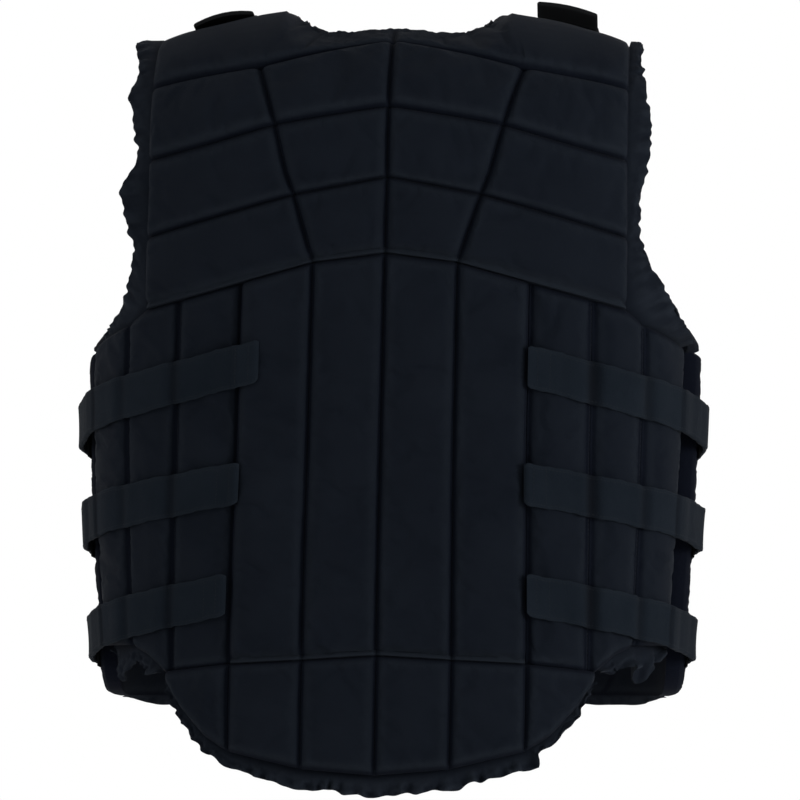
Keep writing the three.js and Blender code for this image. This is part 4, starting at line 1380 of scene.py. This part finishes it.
def cloth_material(name, dark, light, shade_and_seam_colour, highlight_and_edge_colour, roughness, sheen, pitch, weave_depth,
                   fuzz_depth, crease_depth, shade_and_seam_strength=0.6, highlight_and_edge_strength=0.35):
    material, tree, shader = new_material(name)
    coordinates = node(tree, "ShaderNodeTexCoord")
    place = coordinates.outputs["Object"]
    uv = coordinates.outputs["UV"]
    broad = scaled_noise(tree, place, BROAD_SCALE, 3, 0.6)
    fine = scaled_noise(tree, place, FINE_SCALE, 2, 0.6)
    spotted = math_node(tree, "ADD", math_node(tree, "MULTIPLY", broad, 0.65),
                        math_node(tree, "MULTIPLY", fine, 0.35))
    colour = blended(tree, dark, light, stretched(tree, spotted, 0.32, 0.68))
    # Painted light: the 'edge' share moves the colour towards the highlight and edge colour, the 'seam' share
    # towards the shade and seam colour
    colour = marked(tree, colour, highlight_and_edge_colour, "edge", highlight_and_edge_strength)
    colour = marked(tree, colour, shade_and_seam_colour, "seam", shade_and_seam_strength)
    lint = stretched(tree, scaled_noise(tree, place, LINT_SCALE, 1, 0.4), 0.74, 0.8)
    colour = blended(tree, colour, LINT_COLOUR, math_node(tree, "MULTIPLY", lint, LINT_STRENGTH))
    weave = math_node(tree, "MULTIPLY", waves(tree, uv, 0, pitch), waves(tree, uv, 1, pitch))
    normal = node(tree, "ShaderNodeBump", {"Height": weave, "Distance": weave_depth}).outputs[0]
    crease = scaled_noise(tree, place, CREASE_SCALE, 3, 0.55)
    for height, depth in ((fine, fuzz_depth), (crease, crease_depth)):
        inputs = {"Height": height, "Distance": depth, "Normal": normal}
        normal = node(tree, "ShaderNodeBump", inputs).outputs[0]
    feed(tree, shader, {
        "Base Color": colour,
        "Roughness": roughness,
        "Specular IOR Level": CLOTH_SPECULAR,
        "Sheen Weight": sheen,
        "Sheen Roughness": SHEEN_ROUGHNESS,
        "Sheen Tint": SHEEN_TINT,
        "Normal": normal,
    })
    return material


def plain_material(name, dark, light, roughness, scale, depth, gloss):
    material, tree, shader = new_material(name)
    place = node(tree, "ShaderNodeTexCoord").outputs["Object"]
    noise = scaled_noise(tree, place, scale, 2, 0.5)
    feed(tree, shader, {
        "Base Color": blended(tree, dark, light, noise),
        "Roughness": roughness,
        "Specular IOR Level": gloss,
        "Normal": node(tree, "ShaderNodeBump", {"Height": noise, "Distance": depth}).outputs[0],
    })
    return material


# Seam colours are painted shade in channels, gaps, valleys and strap dips, and also the darker seam line at a
# strap's turn; edge colours are painted highlights on pads and gathers, and the lighter edges of straps and
# tabs
shell = cloth_material(
    "shell cloth", dark=(0.0018, 0.003, 0.0056), light=(0.003, 0.0045, 0.0075),
    shade_and_seam_colour=(0.0006, 0.0013, 0.0038), highlight_and_edge_colour=(0.0082, 0.0109, 0.015), roughness=0.85,
    sheen=0.008, pitch=0.0008, weave_depth=0.00012, fuzz_depth=0.00006, crease_depth=0.0005,
    shade_and_seam_strength=0.72, highlight_and_edge_strength=0.5)
trim = cloth_material(
    "binding cloth", dark=(0.0028, 0.0042, 0.0072), light=(0.005, 0.0069, 0.0105),
    shade_and_seam_colour=(0.001, 0.0017, 0.0036), highlight_and_edge_colour=(0.0095, 0.0122, 0.0165), roughness=0.9,
    sheen=0.012, pitch=0.0007, weave_depth=0.0001, fuzz_depth=0.00006, crease_depth=0.0006,
    shade_and_seam_strength=0.8, highlight_and_edge_strength=0.6)
webbing = cloth_material(
    "strap webbing", dark=(0.002, 0.0036, 0.006), light=(0.0038, 0.0058, 0.0088),
    shade_and_seam_colour=(0.0007, 0.001, 0.002), highlight_and_edge_colour=(0.0062, 0.0087, 0.0122), roughness=0.92,
    sheen=0.008, pitch=0.0011, weave_depth=0.00005, fuzz_depth=0.00022, crease_depth=0.0005,
    shade_and_seam_strength=0.75)
hook = cloth_material(
    "hook tape", dark=(0.001, 0.0012, 0.0014), light=(0.0018, 0.002, 0.0024),
    shade_and_seam_colour=(0.0008, 0.0008, 0.001), highlight_and_edge_colour=(0.0105, 0.0112, 0.0122), roughness=0.8,
    sheen=0.006, pitch=0.0013, weave_depth=0.00035, fuzz_depth=0.00012, crease_depth=0.0003)
tape_cloth = cloth_material(
    "zip tape", dark=(0.0014, 0.0018, 0.0024), light=(0.0024, 0.0028, 0.0036),
    shade_and_seam_colour=(0.001, 0.0012, 0.0014), highlight_and_edge_colour=(0.004, 0.0044, 0.005), roughness=0.85,
    sheen=0.01, pitch=0.0009, weave_depth=0.00012, fuzz_depth=0.00006, crease_depth=0.0002)
thread = plain_material("sewing thread", (0.003, 0.0044, 0.0066), (0.0058, 0.0078, 0.0108),
                        roughness=0.75, scale=1500, depth=0.00005, gloss=0.12)
moulded = plain_material("moulded zip", (0.0024, 0.0026, 0.003), (0.004, 0.0044, 0.005),
                         roughness=0.35, scale=700, depth=0.00002, gloss=0.3)


def face_band(thing, outside, rest):
    """A tab's own cloth on its outer face, and another material on its back and rim."""
    columns = len(BAND_PROFILE)
    rows = len(thing.data.vertices) // (2 * columns)
    index = np.ones(len(thing.data.polygons), dtype=np.int32)
    index[: (rows - 1) * (columns - 1)] = 0
    thing.data.materials.append(outside)
    thing.data.materials.append(rest)
    thing.data.polygons.foreach_set("material_index", index)


for pad in pads:
    pad_meshes[pad.name].data.materials.append(shell)
for thing, *_ in sheets:
    thing.data.materials.append(trim)
for thing, *_ in straps:
    thing.data.materials.append(webbing)
for thing, _ in anchors:
    thing.data.materials.append(hook)
for thing in (tab_over, tab_up):
    face_band(thing, webbing, hook)
tape.data.materials.append(tape_cloth)

stitch_tree = repeat_tree("stitch repeat", "stitch", thread)
tooth_tree = repeat_tree("tooth repeat", "tooth", moulded)
STITCH = {"Length": 0.0024, "Width": 0.00045, "Height": 0.00032, "Unevenness": 0.08, "Seed": 3}
STRAP_STITCH = {"Length": 0.0019, "Width": 0.0004, "Height": 0.0003, "Unevenness": 0.08, "Seed": 5}
TOOTH = {"Length": 0.0011, "Width": 0.0034, "Height": 0.0017, "Unevenness": 0.02, "Seed": 1}

quilt_runs = [run for pad in pads for run in pad_seam_runs(pad, QUILT_PITCH)]
for pad in (yoke, bars):
    quilt_runs += lip_runs(pad, LIP_STITCH_INSET, QUILT_PITCH)
quilt_stitches = spread_shapes("quilting_stitches", stitch_tree, *gathered(quilt_runs), STITCH)
sewn_runs = [run for _, _, path, sign in straps for run in strap_runs(path, sign, STRAP_STITCH_PITCH)]
strap_stitches = spread_shapes("strap_stitches", stitch_tree, *gathered(sewn_runs), STRAP_STITCH)

TEETH_LOW = ZIP_LOW + ZIP_TAPE_RISE + ZIP_MIDDLE_RISE


def zip_teeth():
    """Two rows of teeth that pass between each other down the front."""
    first, last = FRONT_SEAMS[[2, -1]] * BACK_LENGTH
    runs = []
    for side in (-1, 1):
        down = np.arange(first + ZIP_TOP_INSET, last - ZIP_END_INSET, TOOTH_PITCH) + side * TOOTH_SHIFT
        girth = np.full_like(down, 1 + side * TOOTH_ROW_REACH / HALF_GIRTH)
        points = vest_point(girth, down, TEETH_LOW + TOOTH["Height"] / 2)
        along = np.tile([0, 0, -1.0], (len(down), 1))
        runs.append((points, along, outward_at(girth, down)))
    return spread_shapes("zip_teeth", tooth_tree, *gathered(runs), TOOTH)


teeth = zip_teeth()


def zip_slider():
    """A plain rounded slider at the top of the zip."""
    down = np.linspace(0, 1, 9)[:, None] * SLIDER_LENGTH + FRONT_SEAMS[2] * BACK_LENGTH + SLIDER_GAP
    share = np.linspace(-1, 1, 9)[None, :]
    taper = SLIDER_HALF_WIDTH * np.sqrt(1 - np.linspace(-0.7, 0.7, 9)[:, None] ** 2)
    girth, down = np.broadcast_arrays(1 + share * taper / HALF_GIRTH, down)
    rise = SLIDER_RISE + SLIDER_RISE * np.sqrt(np.clip(1 - share ** 2, 0, 1))
    outer = vest_point(girth, down, TEETH_LOW + SLIDER_GAP + rise)
    inner = vest_point(girth, down, TEETH_LOW + SLIDER_GAP)
    body = wall("zip_slider", outer, inner, flat_map(girth * HALF_GIRTH, down))
    body.data.materials.append(moulded)
    return body


slider = zip_slider()

# Surroundings: pale floor below, white room and soft lights, brighter from the right and below

FLOOR_CORNERS = [(-2, -2, -0.75), (2, -2, -0.75), (2, 2, -0.75), (-2, 2, -0.75)]
floor_mesh = bpy.data.meshes.new("floor")
floor_mesh.from_pydata(FLOOR_CORNERS, [], [(0, 1, 2, 3)])
floor = new_object("floor", floor_mesh)
floor_mesh.materials.append(plain_material("pale floor", (0.86, 0.86, 0.86), (0.9, 0.9, 0.9),
                                           roughness=0.9, scale=3, depth=0.0001, gloss=0.2))

world = bpy.data.worlds.new("white room")
world.use_nodes = True
background = world.node_tree.nodes["Background"]
background.inputs["Color"].default_value = (1, 1, 1, 1)
background.inputs["Strength"].default_value = 1.0
bpy.context.scene.world = world


# Lights: name, place, size and power
LIGHTS = (
    ("right light", (2.0, -1.1, -0.1), 0.8, 46),
    ("low light", (0.5, -1.1, -1.6), 0.8, 24),
    ("left light", (-2.1, -0.9, 0.1), 1.1, 14),
)
LIGHT_TARGET = Vector((0, 0, -0.25))
for name, place, size, power in LIGHTS:
    lamp = bpy.data.lights.new(name, "AREA")
    lamp.shape = "SQUARE"
    lamp.size = size
    lamp.energy = power
    aim(new_object(name, lamp), place, LIGHT_TARGET - Vector(place))

# Each piece goes under the root, and the imported parts that it stands in for are hidden

PAD_NODES = {
    "yoke": "back_yoke",
    "bars": "back_bars",
    "tail": "back_tail",
    "wing_left": "back_wing_left",
    "wing_right": "back_wing_right",
    "front_left": "front_panel_left",
    "front_right": "front_panel_right",
}


def add_piece(thing, slot, *nodes):
    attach(thing, "root")
    if nodes:
        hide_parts(*nodes)


for label, node_name in PAD_NODES.items():
    add_piece(pad_meshes[label], "shell_fabric", node_name)
for thing, node_name, flat, area, rests_on in sheets:
    add_piece(thing, "trim_fabric", node_name)
for thing, node_name, *_ in straps:
    add_piece(thing, "strap_webbing", node_name)
for thing, node_name in anchors:
    add_piece(thing, "hook_tape", node_name)
add_piece(tab_over, "hook_tape", "shoulder_tab_left")
add_piece(tab_up, "hook_tape", "shoulder_tab_right")
add_piece(tape, "zip", "front_zip")
add_piece(teeth, "zip")
add_piece(slider, "zip")
add_piece(quilt_stitches, "shell_fabric")
add_piece(strap_stitches, "strap_webbing")
